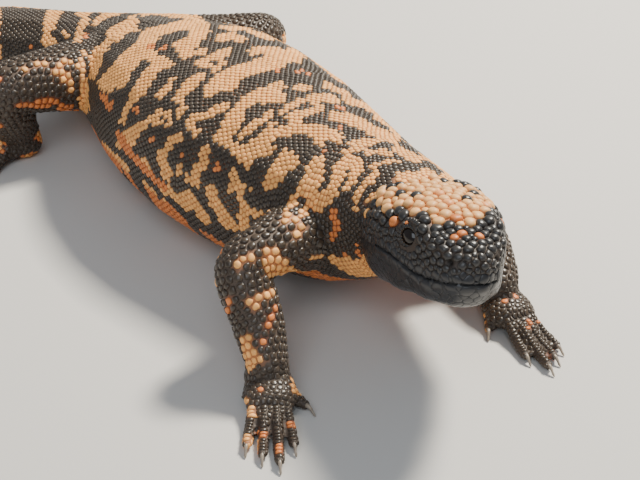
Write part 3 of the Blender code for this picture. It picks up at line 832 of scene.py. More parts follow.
# Where no bead may spread: over the mouth line, the eyes, the nostrils and the
# roots of the claws. Points stand there that only hold their neighbours off.
blocks = []
for hand in (1, -1):
    for k in range(0, 130, 2):
        angle = radians(k)
        forward = 4.0 + 3.0 * cos(angle)
        for _ in range(2):
            height = mouth_height(forward)
            start = from_head @ Vector((4.0, 0, height))
            end = from_head @ Vector((4.0 + 5 * cos(angle), hand * 5 * sin(angle), height))
            hit = surface.ray_cast(start, (end - start).normalized(), 0.08)
            if hit[0] is None:
                break
            forward = (from_head.inverted() @ hit[0]).x
        if hit[0] is None or forward < 2.85:
            break
        blocks.append((hit[0], 0.35 * MM))
for eye_frame in eye_frames:
    blocks.append((eye_frame @ Vector((0, 0, 0.6 * MM)), 5.0 * MM))
for spot in nostrils:
    blocks.append((from_head @ Vector(spot), 1.5 * MM))
for tip in toe_tips:
    blocks.append((tip + Vector((0, 0, 0.0012)), 0.8 * MM))

all_places = np.vstack([places, np.array([b[0] for b in blocks])])
all_sizes = np.concatenate([pitches, np.array([b[1] for b in blocks])])
all_normals = np.vstack([normals, np.array([normals[tree.find(b[0])[1]] for b in blocks])])
tree = KDTree(len(all_places))
for i, p in enumerate(all_places):
    tree.insert(p, i)
tree.balance()
NEIGHBOURS = 12
near = np.array([[j for _, j, _ in tree.find_n(p, NEIGHBOURS + 1)] for p in places])


def outline(directions, roundness, softness=10.0):
    """How far each bead reaches in each direction before it meets its neighbours."""
    offset = all_places[near] - places[:, None, :]
    a = np.einsum("nkc,nc->nk", offset, along)
    b = np.einsum("nkc,nc->nk", offset, across)
    facing = np.einsum("nkc,nc->nk", all_normals[near], normals)
    turn = np.arccos(np.clip(facing, -1, 0.9999))
    flat_reach = np.maximum(np.hypot(a, b), 1e-9)
    reach = np.linalg.norm(offset, axis=2) * turn / (2 * np.sin(turn / 2))  # along the curve of the skin
    a = a * reach / flat_reach
    b = b * reach / flat_reach
    usable = (reach > 1e-6) & (facing > -0.75)
    reach = np.where(usable, reach, 1.0)
    share = all_sizes[:len(places), None] / (all_sizes[:len(places), None] + all_sizes[near])
    half = np.where(usable, reach * share, 1.0)
    far = np.empty((len(places), len(directions)))
    for k, angle in enumerate(directions):
        lean = (a * cos(angle) + b * sin(angle)) / reach
        distance = half / np.clip(lean, 0.02, 1)
        distance = np.where(usable & (lean > 0.02), distance, 1.0)
        far[:, k] = np.sum(distance**-softness, axis=1) ** (-1 / softness)
    limit = np.where(head_roots, 0.72, 0.62) * np.maximum(pitches, rows)
    far = np.minimum(far, limit[:, None])
    mean = far.mean(axis=1)
    return np.minimum(far, mean[:, None] * roundness[:, None])


# The markings: black ground with a net of peach blotches. On the side that the
# photograph shows they are painted as strokes, each a half width and a line of
# photograph pixels; beyond it blotches of the same size and lean carry on.
PEACH_ON_BODY = (
    (3.5, (80, 13), (98, 6), (116, 2)),
    (3, (95, 22), (106, 14), (118, 11)),
    (6, (112, 33), (126, 26), (137, 24)),
    (2.5, (130, 18), (150, 11), (175, 14), (200, 18)),
    (3, (97, 47), (92, 60), (91, 76)),
    (3, (94, 72), (97, 60), (100, 48)),
    (4, (104, 48), (108, 40), (118, 36)),
    (8.5, (106, 84), (122, 66), (140, 48), (150, 36)),
    (6, (134, 95), (146, 76), (160, 62), (168, 60)),
    (5, (150, 56), (154, 54)),
    (4.5, (158, 30), (180, 24), (203, 24)),
    (7, (180, 46), (192, 40), (203, 28)),
    (3, (183, 54), (184, 55)),
    (3.5, (218, 37), (232, 35), (243, 38)),
    (1.8, (222, 27), (245, 28), (270, 38)),
    (3.5, (200, 62), (215, 54), (230, 50)),
    (3, (203, 60), (214, 68), (222, 62)),
    (7, (208, 90), (222, 78), (240, 70), (262, 64), (280, 58), (300, 52)),
    (4, (252, 50), (272, 50), (300, 58)),
    (3, (173, 78), (158, 95)),
    (5, (199, 76), (185, 88), (178, 97)),
    (3, (128, 104), (120, 122)),
    (4, (152, 118), (160, 112), (166, 112)),
    (4, (155, 121), (157, 123)),
    (3.5, (183, 106), (177, 116)),
    (5, (189, 124), (196, 116), (208, 114), (222, 106)),
    (4, (192, 129), (194, 131)),
    (4.5, (168, 144), (178, 135)),
    (3, (167, 125), (170, 120)),
    (5, (120, 143), (130, 133), (138, 128)),
    (3, (142, 125), (144, 123)),
    (8, (222, 138), (232, 120), (246, 104), (262, 95)),
    (6, (262, 92), (280, 96)),
    (5, (258, 98), (268, 90), (280, 86)),
    (3.5, (240, 135), (258, 121), (271, 112)),
    (3.5, (262, 136), (272, 124)),
    (3, (281, 112), (295, 103), (300, 100)),
    (3.5, (290, 117), (305, 112), (320, 108)),
    (6, (245, 150), (262, 140), (280, 130), (300, 126), (325, 132), (338, 137)),
    (5, (319, 139), (321, 141)),
    (6, (228, 142), (240, 152), (246, 162)),
    (8, (270, 182), (280, 168), (290, 160)),
    (4, (283, 153), (285, 151)),
    (10, (305, 188), (316, 172), (318, 165)),
    (3.5, (286, 212), (296, 196)),
    (4, (300, 225), (306, 205), (316, 196), (330, 190)),
    (6, (325, 200), (332, 190)),
    (5, (319, 206), (321, 204)),
    (6, (338, 168), (350, 160), (358, 162), (355, 170)),
    (5, (330, 180), (342, 172)),
    (3.5, (345, 188), (354, 178)),
    (3.5, (355, 210), (356, 195), (364, 185)),
    (3, (342, 152), (355, 147), (368, 145)),
    (2.5, (350, 143), (365, 140), (380, 140)),
    (5, (335, 115), (350, 118), (370, 128), (395, 138)),
    (4, (312, 98), (325, 96), (335, 100)),
    (2.5, (297, 87), (308, 87)),
    (3, (325, 84), (340, 90), (350, 96)),
    (3, (345, 98), (360, 103), (375, 110)),
    (2.5, (375, 115), (390, 125), (400, 135)),
    (3, (367, 152), (380, 150), (392, 154)),
    (2, (383, 160), (400, 160)),
    (2, (372, 165), (385, 160)),
    (2.5, (369, 180), (378, 172)),
    (4, (398, 148), (410, 155), (418, 158)),
    (5, (206, 148), (203, 160), (195, 175), (194, 183)),
    (3, (187, 178), (189, 178)),
    (5, (160, 155), (163, 165), (168, 175)),
    (3, (178, 165), (178, 175)),
    (4, (234, 172), (235, 182), (231, 190)),
    (3, (241, 185), (238, 197)),
    (2.5, (249, 188), (251, 188)),
    (4, (242, 205), (250, 212), (256, 215)),
    (5, (211, 190), (214, 205), (224, 220), (234, 228)),
    (4, (185, 194), (195, 207), (205, 220)),
    (4, (168, 190), (178, 200), (186, 208)),
    (4, (252, 153), (272, 148)),
    (5, (224, 87), (235, 83)),
    (4, (118, 84), (126, 77)),
    (3, (190, 52), (204, 51)),
    (4, (130, 142), (136, 135)),
    (3.5, (82, 64), (84, 84)),
    (4, (83, 84), (84, 110)),
    (4, (241, 215), (245, 230), (255, 245)),
    (2.5, (262, 215), (272, 224)),
    (3, (262, 232), (267, 243)),
    (3, (286, 236), (288, 236)),
    (3.5, (140, 160), (146, 168)),
    (2.5, (153, 178), (165, 192)),
    (6, (62, 3), (52, 14), (48, 26)),
    (6, (47, 40), (52, 50), (56, 60)),
    (3.5, (77, 38), (80, 28), (86, 18)),
    (2, (64, 30), (66, 38)),
    (1.5, (83, 58), (83, 50)),
)
BLACK_ON_BODY = (
    (3.5, (327, 160), (328, 178)),
    (2.5, (244, 117), (250, 108), (258, 104)),
    (3, (139, 17), (142, 27)),
    (3.5, (166, 52), (172, 56)),
)
ORANGE_ON_BODY = (
    (3, (102, 95), (108, 108)),
    (2.5, (111, 103), (113, 103)),
    (3, (135, 110), (137, 110)),
    (2, (149, 140), (151, 140)),
    (3.5, (333, 212), (336, 225), (334, 238)),
    (1.5, (356, 245), (358, 256)),
    (1.5, (344, 254), (346, 254)),
    (2.5, (180, 153), (182, 153)),
    (2.5, (217, 165), (215, 172)),
    (3.5, (118, 135), (128, 152), (140, 165), (165, 190)),
    (2, (277, 70), (279, 70)),
    (2, (299, 70), (301, 70)),
    (2, (307, 73), (309, 73)),
    (2, (338, 107), (346, 109)),
    (2, (324, 150), (326, 150)),
    (2, (340, 126), (340, 128)),
    (2, (86, 34), (86, 36)),
    (2, (147, 46), (154, 44)),
    (2, (162, 47), (164, 47)),
    (2, (31, 45), (31, 47)),
    (2, (35, 54), (35, 56)),
)
PEACH_ON_THIGH = (
    (4.5, (81, 68), (83, 88), (81, 106)),
    (2.5, (26, 68), (38, 66)),
    (2, (30, 62), (60, 61), (80, 64)),
    (6, (60, 72), (70, 82), (80, 92)),
    (5, (78, 70), (83, 85)),
    (5, (62, 69), (74, 74), (84, 70)),
    (5, (70, 79), (79, 88), (84, 78)),
    (5, (78, 97), (83, 108), (85, 92)),
)
ORANGE_ON_THIGH = (
    (4, (22, 106), (40, 104), (55, 103)),
    (5, (60, 108), (75, 110), (88, 116), (98, 125)),
)
BLACK_ON_THIGH = ((2.5, (66, 68), (75, 72)),)
PEACH_ON_ARM = (
    (6, (271, 252), (276, 262), (290, 272), (300, 278)),
    (5, (268, 265), (283, 280), (295, 286)),
    (3.5, (256, 258), (258, 258)),
    (2, (236, 261), (247, 255)),
    (3, (251, 304), (262, 299), (272, 292)),
    (4, (245, 337), (247, 337)),
    (6, (249, 352), (256, 356)),
    (3.5, (246, 366), (248, 366)),
    (3.5, (245, 401), (248, 413)),
    (4, (296, 384), (300, 389)),
    (3, (285, 208), (283, 219)),
    (3, (300, 218), (297, 231)),
    (3.5, (247, 437), (248, 443)),
)
ORANGE_ON_ARM = (
    (3, (227, 298), (229, 312)),
    (3, (274, 308), (270, 324)),
    (3.5, (265, 340), (267, 340)),
    (3, (258, 387), (260, 387)),
    (3, (286, 421), (295, 424)),
    (3, (259, 433), (266, 436)),
    (4, (274, 444), (284, 449)),
    (3, (322, 285), (335, 280), (345, 285)),
)
BLACK_ON_ARM = ((2.5, (282, 260), (284, 260)), (2.5, (299, 283), (301, 283)))
ORANGE_ON_FAR_ARM = (
    (3, (503, 300), (505, 301)),
    (2.5, (515, 297), (517, 297)),
    (2.5, (527, 320), (531, 327)),
    (2.5, (537, 320), (538, 321)),
)
SEEN_BODY = ((0, 0), (205, 0), (300, 50), (400, 130), (430, 165), (360, 260), (290, 250), (240, 255), (185, 220), (100, 140), (0, 70))
CROWN = (
    (361, 207), (369, 200), (380, 204), (387.5, 210), (400, 209), (410, 210), (420, 212.5), (430, 215),
    (437.5, 220), (445, 222.5), (457.5, 222.5), (467.5, 223), (482.5, 222.5), (482.5, 215), (487.5, 209),
    (496, 205), (489, 190), (482.5, 187), (470, 180), (455, 174), (442, 168), (430, 167), (418.8, 165.6),
    (397.5, 167.5), (391, 178), (372, 190),
)
BLACK_ON_CROWN = (
    (4, (400, 167), (415, 167)),
    (2.5, (376, 188), (391, 182)),
    (4, (435, 166), (440, 169)),
    (4, (489, 191), (494, 197)),
    (5, (500, 204), (508, 220)),
)
BLACK_BEADS = (
    (401, 194), (417, 194), (472.5, 193), (467.5, 199), (440.5, 176.5), (453, 175.5), (395.5, 175.5), (386, 185),
    (462, 175), (470, 179),
)
CREAM_BEADS = ((443, 219), (476, 218), (360, 207))
ORANGE_BEADS = ((392, 221), (404, 220.6), (461, 218), (466, 229), (457, 236.5), (478, 236), (507, 219))
PALE_ORANGE_BEADS = ((436, 192), (450, 197), (484, 203))
SPREAD = 0.35
ARM_SPREAD = 1.3
DOME_TOP = 1.1 * MM  # the colours are seen on top of the beads
GRAIN_TOP = 0.6 * MM
BLACK = 0
PEACH = 1
ORANGE = 2


def beyond_strokes(pixels, strokes):
    """How many pixels each point lies outside the nearest of the strokes."""
    best = np.full(len(pixels), 1e9)
    for half, *line in strokes:
        line = np.array(line, float)
        for a, b in zip(line[:-1], line[1:]):
            run = b - a
            t = np.clip(((pixels - a) @ run) / (run @ run), 0, 1)
            best = np.minimum(best, np.linalg.norm(pixels - a - t[:, None] * run, axis=1) - half)
    return best


def inside(pixels, outline_points):
    x, y = pixels.T
    within = np.zeros(len(pixels), bool)
    previous = outline_points[-1]
    for point in outline_points:
        (x0, y0), (x1, y1) = previous, point
        crossing = (y0 > y) != (y1 > y)
        if y0 != y1:
            within ^= crossing & (x < (x1 - x0) * (y - y0) / (y1 - y0) + x0)
        previous = point
    return within


def is_part(part_labels, *starts):
    wanted = [PART[n] for n in FLESH if n.startswith(starts)]
    return np.isin(part_labels, wanted)


def soft_noise(places, scale, seed):
    shift = Vector((seed * 3.1, seed * 7.7, seed * 1.3))
    return np.array([noise.noise(Vector(p) * scale + shift) for p in places])


def blotches(places, part_labels):
    """Blotches where the photograph doesn't see: streaks across the body that lean forward."""
    cm = places / CM
    along_body = cm[:, 1]
    girth = np.arctan2(cm[:, 0] - np.interp(cm[:, 1], [r[1] for r in SPINE], [r[0] for r in SPINE]), cm[:, 2] - 3.2) * 3.8
    leaning = along_body * 0.88 + np.abs(girth) * 0.35
    stretched = np.stack([leaning / 1.0, girth / 2.1, np.zeros(len(cm))], axis=1)
    value = soft_noise(stretched, 1.0, 1) + 0.45 * soft_noise(stretched, 2.3, 2)
    body = np.where(value > -0.02, PEACH, BLACK)
    limb_value = soft_noise(cm, 0.95, 4) + 0.3 * soft_noise(cm, 2.2, 5)
    limb = np.where(limb_value > 0.34, PEACH, np.where(limb_value > 0.27, ORANGE, BLACK))
    tail_at = np.hypot(cm[:, 0], cm[:, 1] - 9)
    band = np.sin(tail_at / 1.35) + 0.9 * value + 0.25
    tail = np.where(band > 0, PEACH, BLACK)
    found = limb
    on_body = np.isin(part_labels, BODY_PARTS)
    found = np.where(on_body, body, found)
    found = np.where(is_part(part_labels, "tail"), tail, found)
    low = on_body & (cm[:, 2] < 2.6) & (cm[:, 2] > 0.6) & (found == PEACH) & (cm[:, 1] < 10)
    return np.where(low, ORANGE, found)


def markings(places, normals, part_labels):
    """The colour class of each point: black, peach or orange."""
    tops_at = np.where(np.isin(part_labels, HEAD_PARTS), DOME_TOP, GRAIN_TOP)
    pixels = in_photo(places + normals * tops_at[:, None])
    to_camera = np.array(CAMERA_AT) - places
    facing = np.sum(normals * to_camera, axis=1) / np.linalg.norm(to_camera, axis=1)
    found = blotches(places, part_labels)

    seen = np.isin(part_labels, BODY_PARTS) & (facing > 0.05) & inside(pixels, SEEN_BODY)
    ragged = 1.6 * soft_noise(places / CM * (0.9, 3.4, 0.9), 1.0, 9)
    painted = np.where(beyond_strokes(pixels, PEACH_ON_BODY) < SPREAD + ragged, PEACH, BLACK)
    painted = np.where(beyond_strokes(pixels, BLACK_ON_BODY) < 0, BLACK, painted)
    painted = np.where(beyond_strokes(pixels, ORANGE_ON_BODY) < 0, ORANGE, painted)
    found = np.where(seen, painted, found)

    near_arm = is_part(part_labels, "upper_arm_right", "forearm_right", "hand_right") & (facing > 0)
    painted = np.where(beyond_strokes(pixels, PEACH_ON_ARM) < ARM_SPREAD, PEACH, BLACK)
    painted = np.where(beyond_strokes(pixels, ORANGE_ON_ARM) < 0, ORANGE, painted)
    painted = np.where(beyond_strokes(pixels, BLACK_ON_ARM) < 0, BLACK, painted)
    found = np.where(near_arm, painted, found)

    far_arm = is_part(part_labels, "forearm_left", "hand_left") & (facing > 0)
    found = np.where(far_arm, np.where(beyond_strokes(pixels, ORANGE_ON_FAR_ARM) < 0, ORANGE, BLACK), found)

    thigh = is_part(part_labels, "thigh_right", "shin_right") & (facing > 0) & (pixels[:, 0] > 0)
    painted = np.where(beyond_strokes(pixels, PEACH_ON_THIGH) < 0, PEACH, BLACK)
    painted = np.where(beyond_strokes(pixels, ORANGE_ON_THIGH) < 0, ORANGE, painted)
    painted = np.where(beyond_strokes(pixels, BLACK_ON_THIGH) < 0, BLACK, painted)
    found = np.where(thigh, painted, found)

    nape = is_part(part_labels, "neck") & (facing > 0.0) & inside(pixels, CROWN)
    found = np.where(nape, np.where(beyond_strokes(pixels, BLACK_ON_CROWN) < 0, BLACK, PEACH), found)
    head = np.isin(part_labels, HEAD_PARTS)
    local = head_places(places)
    painted = np.where(inside(pixels, CROWN) & (facing > 0.0) & (local[:, 2] > 0.4), PEACH, BLACK)
    painted = np.where(beyond_strokes(pixels, BLACK_ON_CROWN) < 0, BLACK, painted)
    return np.where(head, painted, found)


classes = markings(places, normals, labels)
# Single beads of the head: the one that stands nearest to each spot.
root_pixels = in_photo(places + normals * DOME_TOP)
to_camera = np.array(CAMERA_AT) - places
shown = np.isin(labels, HEAD_PARTS) & (np.sum(normals * to_camera, axis=1) > 0)
pale_orange = []
for spots, kind in ((BLACK_BEADS, BLACK), (CREAM_BEADS, PEACH), (ORANGE_BEADS, ORANGE), (PALE_ORANGE_BEADS, PEACH)):
    for spot in spots:
        off = np.linalg.norm(root_pixels - spot, axis=1) + 1e3 * ~shown + 6 * (pitches < 0.3 * CM)
        classes[np.argmin(off)] = kind
        if spots is PALE_ORANGE_BEADS:
            pale_orange.append(np.argmin(off))

TOP_COLOURS = np.array(((0.052, 0.037, 0.025), (0.90, 0.43, 0.125), (0.70, 0.21, 0.050)))
FACE_BLACK = np.array((0.032, 0.030, 0.029))
CROWN_CREAM = np.array((0.80, 0.42, 0.150))
CROWN_ORANGE = np.array((0.82, 0.33, 0.11))
SEAM_COLOURS = np.array(((0.034, 0.025, 0.020), (0.50, 0.19, 0.065), (0.32, 0.085, 0.028)))
HIDE_BROWN = np.array((0.090, 0.062, 0.045))  # bare hide between the studs of face and legs
JAW_GREY = np.array((0.026, 0.026, 0.028))

head_roots = np.isin(labels, HEAD_PARTS)
foot_roots = np.isin(labels, FOOT_PARTS)
limb_roots = is_part(labels, "upper", "fore", "thigh", "shin")
body_roots = np.isin(labels, BODY_PARTS)
local_all = head_places(places)
over_mouth = local_all[:, 2] - mouth_height(local_all[:, 0])
crown_roots = head_roots & (local_all[:, 2] > 1.0)
jaw_roots = head_roots & (over_mouth < 0)
lip_roots = head_roots & ~jaw_roots & (over_mouth < 0.42) & (local_all[:, 0] > 2.6)
face_roots = head_roots & ~crown_roots & ~jaw_roots & ~lip_roots
belly_roots = body_roots & (normals[:, 2] < -0.7)
spine_line = np.array([row[:2] for row in SPINE])

shade = np.clip(1 + 0.10 * rng.standard_normal(len(places)), 0.75, 1.3)
tops = TOP_COLOURS[classes] * shade[:, None]
seams = SEAM_COLOURS[classes]
tops[head_roots & (classes == BLACK)] = FACE_BLACK
tops[crown_roots & (classes == PEACH)] = CROWN_CREAM
tops[pale_orange] = CROWN_ORANGE
studded = (limb_roots | foot_roots | face_roots) & (classes == BLACK)
seams[studded] = HIDE_BROWN
seams[foot_roots & (classes == BLACK)] = HIDE_BROWN * 0.7
seams[face_roots & (classes == BLACK)] = HIDE_BROWN * 0.6
smooth_plates = jaw_roots | lip_roots
tops[smooth_plates & (classes == BLACK)] = JAW_GREY
seams[smooth_plates & (classes == BLACK)] = JAW_GREY * 0.75


def by_region(body_value, belly, limb, foot, crown, face, lip, jaw):
    """One number for each bead, by the region it stands in."""
    value = np.full(len(places), float(body_value))
    for where, number in (
        (belly_roots, belly),
        (limb_roots, limb),
        (foot_roots, foot),
        (crown_roots, crown),
        (face_roots, face),
        (lip_roots, lip),
        (jaw_roots, jaw),
    ):
        value[where] = number
    return value


heights = pitches * by_region(0.17, 0.10, 0.25, 0.12, 0.40, 0.30, 0.08, 0.03)
heights[kinds == "lid"] = pitches[kinds == "lid"] * 0.32
heights *= 1 + 0.08 * rng.standard_normal(len(places))
gaps = pitches * by_region(0.015, 0.03, 0.12, 0.06, 0.03, 0.045, 0.03, 0.012)
roundness = by_region(1.7, 1.5, 1.14, 1.9, 1.06, 1.09, 1.7, 1.35)
roundness[kinds == "free"] = np.minimum(roundness[kinds == "free"], 1.25)

# An unwrap of the skin, so that each bead knows its place on it.
coarse_object = show("coarse skin", hide.copy())
thinned = coarse_object.modifiers.new("thinned", "DECIMATE")
thinned.ratio = 0.06
coarse = bpy.data.meshes.new_from_object(coarse_object.evaluated_get(bpy.context.evaluated_depsgraph_get()))
bpy.data.objects.remove(coarse_object)
coarse_object = show("coarse skin", coarse)
bpy.context.view_layer.objects.active = coarse_object
coarse_object.select_set(True)
coarse.uv_layers.new(name="OFBake")
bpy.ops.object.mode_set(mode="EDIT")
bpy.ops.mesh.select_all(action="SELECT")
bpy.ops.uv.smart_project(angle_limit=radians(66), island_margin=0.01)
bpy.ops.object.mode_set(mode="OBJECT")
coarse.calc_loop_triangles()
uv_flat = np.empty(len(coarse.loops) * 2, np.float32)
coarse.uv_layers["OFBake"].uv.foreach_get("vector", uv_flat)
coarse_uv = uv_flat.reshape(-1, 2)
loops_flat = np.empty(len(coarse.loop_triangles) * 3, np.int32)
coarse.loop_triangles.foreach_get("loops", loops_flat)
verts_flat = np.empty(len(coarse.loop_triangles) * 3, np.int32)
coarse.loop_triangles.foreach_get("vertices", verts_flat)
coarse_loops = loops_flat.reshape(-1, 3)
coarse_verts = verts_flat.reshape(-1, 3)
coarse_places = places_of(coarse)
coarse_tree = BVHTree.FromPolygons([Vector(p) for p in coarse_places], coarse_verts.tolist())
bpy.data.objects.remove(coarse_object)


def unwrapped(points):
    """Where points of the skin lie on its unwrap."""
    found = [coarse_tree.find_nearest(Vector(p)) for p in points]
    index = np.array([f[2] for f in found])
    on = np.array([f[0] for f in found])
    a, b, c = (coarse_places[coarse_verts[index, k]] for k in range(3))
    v0, v1, v2 = b - a, c - a, on - a
    d00 = np.sum(v0 * v0, axis=1)
    d01 = np.sum(v0 * v1, axis=1)
    d11 = np.sum(v1 * v1, axis=1)
    d20 = np.sum(v2 * v0, axis=1)
    d21 = np.sum(v2 * v1, axis=1)
    base = np.maximum(d00 * d11 - d01 * d01, 1e-20)
    s = np.clip((d11 * d20 - d01 * d21) / base, 0, 1)[:, None]
    t = np.clip((d00 * d21 - d01 * d20) / base, 0, 1)[:, None]
    ua, ub, uc = (coarse_uv[coarse_loops[index, k]] for k in range(3))
    return ua + (ub - ua) * s + (uc - ua) * t


root_uv = unwrapped(places)

# The beads: little closed domes of horn-covered bone, one on each root.
BEAD_FOOT = 0.40 * MM


def beads(name, chosen, sides, levels, wrapped, softness):
    """A joined mesh of domes. Levels are (share of the width, share of the height, share of the top colour)."""
    directions = [2 * pi * (k + 0.5) / sides for k in range(sides)]
    far = np.maximum(outline(directions, roundness, softness)[chosen] - gaps[chosen, None] / 2, 0.25 * MM)
    count = len(chosen)
    base = places[chosen]
    up = normals[chosen]
    side_a = along[chosen]
    side_b = across[chosen]
    rise = heights[chosen]
    rows_of_points = []
    tints = []
    offsets = []
    for width, height, top in levels:
        for k, angle in enumerate(directions):
            spread = (far[:, k] * width)[:, None]
            flat = side_a * cos(angle) + side_b * sin(angle)
            lift = np.where(height < 0, -BEAD_FOOT, rise * height)[:, None]
            spots = base + flat * spread
            lean = up
            if wrapped:
                # The bead follows the curve of the skin under it.
                held = [surface.find_nearest(Vector(spot), 4 * MM) for spot in spots]
                own = kinds[chosen] == "lid"
                held = [(None, None) if lid else h for h, lid in zip(held, own)]
                spots = np.array([tuple(h[0]) if h[0] else tuple(spot) for h, spot in zip(held, spots)])
                leans = np.array([tuple(h[1]) if h[0] else tuple(n) for h, n in zip(held, up)])
                lean = up * 0.5 + leans * 0.5
                lean = lean / np.linalg.norm(lean, axis=1)[:, None]
            rows_of_points.append(spots + lean * lift)
            tints.append(seams[chosen] * (1 - top) + tops[chosen] * top)
            offsets.append(np.tile((cos(angle) * width, sin(angle) * width), (count, 1)))
    rows_of_points.append(base + up * rise[:, None])
    tints.append(tops[chosen] * 1.04)
    offsets.append(np.zeros((count, 2)))
    per = len(rows_of_points)
    points = np.stack(rows_of_points, axis=1).reshape(-1, 3)
    # Beads that bear on the floor are pressed flat against it.
    points[:, 2] = np.where(points[:, 2] < 0, points[:, 2] * 0.02, points[:, 2])
    tint = np.stack(tints, axis=1).reshape(-1, 3)
    offset = np.stack(offsets, axis=1).reshape(-1, 2)
    faces = [list(reversed(range(sides)))]
    for level in range(len(levels) - 1):
        low = level * sides
        for k in range(sides):
            m = (k + 1) % sides
            faces.append([low + k, low + m, low + sides + m, low + sides + k])
    low = (len(levels) - 1) * sides
    for k in range(sides):
        faces.append([low + k, low + (k + 1) % sides, per - 1])
    corner_list = np.array([c for f in faces for c in f])
    lengths = np.array([len(f) for f in faces])
    starts = np.concatenate([[0], np.cumsum(lengths)[:-1]])
    all_corners = (corner_list[None, :] + per * np.arange(count)[:, None]).ravel()
    all_starts = (starts[None, :] + len(corner_list) * np.arange(count)[:, None]).ravel()
    mesh = bpy.data.meshes.new(name)
    mesh.vertices.add(per * count)
    mesh.vertices.foreach_set("co", points.astype(np.float32).ravel())
    mesh.loops.add(len(all_corners))
    mesh.loops.foreach_set("vertex_index", all_corners.astype(np.int32))
    mesh.polygons.add(len(all_starts))
    mesh.polygons.foreach_set("loop_start", all_starts.astype(np.int32))
    mesh.update(calc_edges=True)
    mesh.shade_smooth()
    colour = mesh.attributes.new("tint", "FLOAT_COLOR", "POINT")
    colour.data.foreach_set("color", np.hstack([tint, np.ones((len(tint), 1))]).astype(np.float32).ravel())
    patch = mesh.uv_layers.new(name="OFBake")
    spots = np.repeat(root_uv[chosen], per, axis=0) + offset * 0.0015
    patch.uv.foreach_set("vector", spots[all_corners].astype(np.float32).ravel())
    return show(name, mesh)


FINE = ((1.0, -1, 0.0), (0.99, 0.25, 0.35), (0.86, 0.62, 0.9), (0.6, 0.88, 1.0), (0.3, 0.975, 1.0))
PLAIN = ((1.0, -1, 0.0), (0.965, 0.42, 0.7), (0.62, 0.9, 1.0))


class Value:
    """A shader socket that Python's operators can be used on."""

    def __init__(self, tree, socket):
        self.tree = tree
        self.socket = socket

    def node(self, kind, settings=None, out=0, **inputs):
        made = self.tree.nodes.new(kind)
        for key, value in (settings or {}).items():
            setattr(made, key, value)
        for key, value in inputs.items():
            slot = made.inputs[int(key[1:]) if key[0] == "i" and key[1:].isdigit() else key.replace("_", " ")]
            if isinstance(value, Value):
                self.tree.links.new(value.socket, slot)
            else:
                slot.default_value = value
        return Value(self.tree, made.outputs[out])

    def maths(self, kind, other=0.0, swap=False):
        a, b = (other, self) if swap else (self, other)
        return self.node("ShaderNodeMath", {"operation": kind}, i0=a, i1=b)

    def __add__(self, other):
        return self.maths("ADD", other)

    def __radd__(self, other):
        return self.maths("ADD", other)

    def __sub__(self, other):
        return self.maths("SUBTRACT", other)

    def __rsub__(self, other):
        return self.maths("SUBTRACT", other, True)

    def __mul__(self, other):
        return self.maths("MULTIPLY", other)

    def __rmul__(self, other):
        return self.maths("MULTIPLY", other)

    def times(self, factor):
        return self.node("ShaderNodeVectorMath", {"operation": "SCALE"}, i0=self, Scale=factor)

    def between(self, low, high):
        """A colour that goes from low to high as this value goes from 0 to 1."""
        made = self.tree.nodes.new("ShaderNodeMix")
        made.data_type = "RGBA"
        for slot, value in ((made.inputs[0], self), (made.inputs[6], low), (made.inputs[7], high)):
            if isinstance(value, Value):
                self.tree.links.new(value.socket, slot)
            else:
                slot.default_value = value
        return Value(self.tree, made.outputs[2])


def material(name):
    made = bpy.data.materials.new(name)
    made.use_nodes = True
    surface_node = made.node_tree.nodes["Principled BSDF"]
    first = made.node_tree.nodes.new("ShaderNodeTexCoord")
    return made, surface_node, Value(made.node_tree, first.outputs["Object"])


def plug(value, socket):
    value.tree.links.new(value.socket, socket)


scaled, bsdf, here = material("beaded hide")
tint = here.node("ShaderNodeAttribute", {"attribute_name": "tint"})
grain = here.node("ShaderNodeTexNoise", Vector=here, Scale=900.0, Detail=3.0)
patches = here.node("ShaderNodeTexNoise", Vector=here, Scale=120.0, Detail=2.0)
plug(tint.times(0.76 + grain * 0.30 + patches * 0.18), bsdf.inputs["Base Color"])
plug(0.24 + grain * 0.16 + tint.node("ShaderNodeSeparateColor", i0=tint) * 0.25, bsdf.inputs["Roughness"])
bump = here.node("ShaderNodeBump", Height=grain, Strength=0.25, Distance=0.0002)
plug(bump, bsdf.inputs["Normal"])
bsdf.inputs["Specular IOR Level"].default_value = 0.5

seam_hide, bsdf, here = material("bare hide")
tint = here.node("ShaderNodeAttribute", {"attribute_name": "tint"})
creases = here.node("ShaderNodeTexNoise", Vector=here, Scale=1400.0, Detail=3.0)
plug(tint.times(0.7 + creases * 0.5), bsdf.inputs["Base Color"])
bsdf.inputs["Roughness"].default_value = 0.62
bump = here.node("ShaderNodeBump", Height=creases, Strength=0.4, Distance=0.0002)
plug(bump, bsdf.inputs["Normal"])

order = np.arange(len(places))
pieces = [("head scales", order[head_roots], 14, FINE)]
pieces.append(("foot scales", order[foot_roots], 10, PLAIN))
pieces.append(("leg scales", order[limb_roots], 12, FINE[:1] + FINE[2:]))
body = order[body_roots]
body = body[np.argsort(places[body, 1], kind="stable")]
LIMIT = 4200
for part_number in range(0, len(body), LIMIT):
    pieces.append((f"body scales {part_number // LIMIT + 1}", body[part_number : part_number + LIMIT], 8, PLAIN))
for name, chosen, sides, levels in pieces:
    made = beads(name, chosen, sides, levels, not name.startswith("body"), 18 if name.startswith("body") else 11)
    made.data.materials.append(scaled)
    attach(made, "root")

# The skin takes its colours from the beads that stand on it.
root_tree = KDTree(len(places))
for i, p in enumerate(places):
    root_tree.insert(p, i)
root_tree.balance()
owners = np.array([[j for _, j, _ in root_tree.find_n(p, 3)] for p in skin_places])
skin_tint = seams[owners].mean(axis=1)
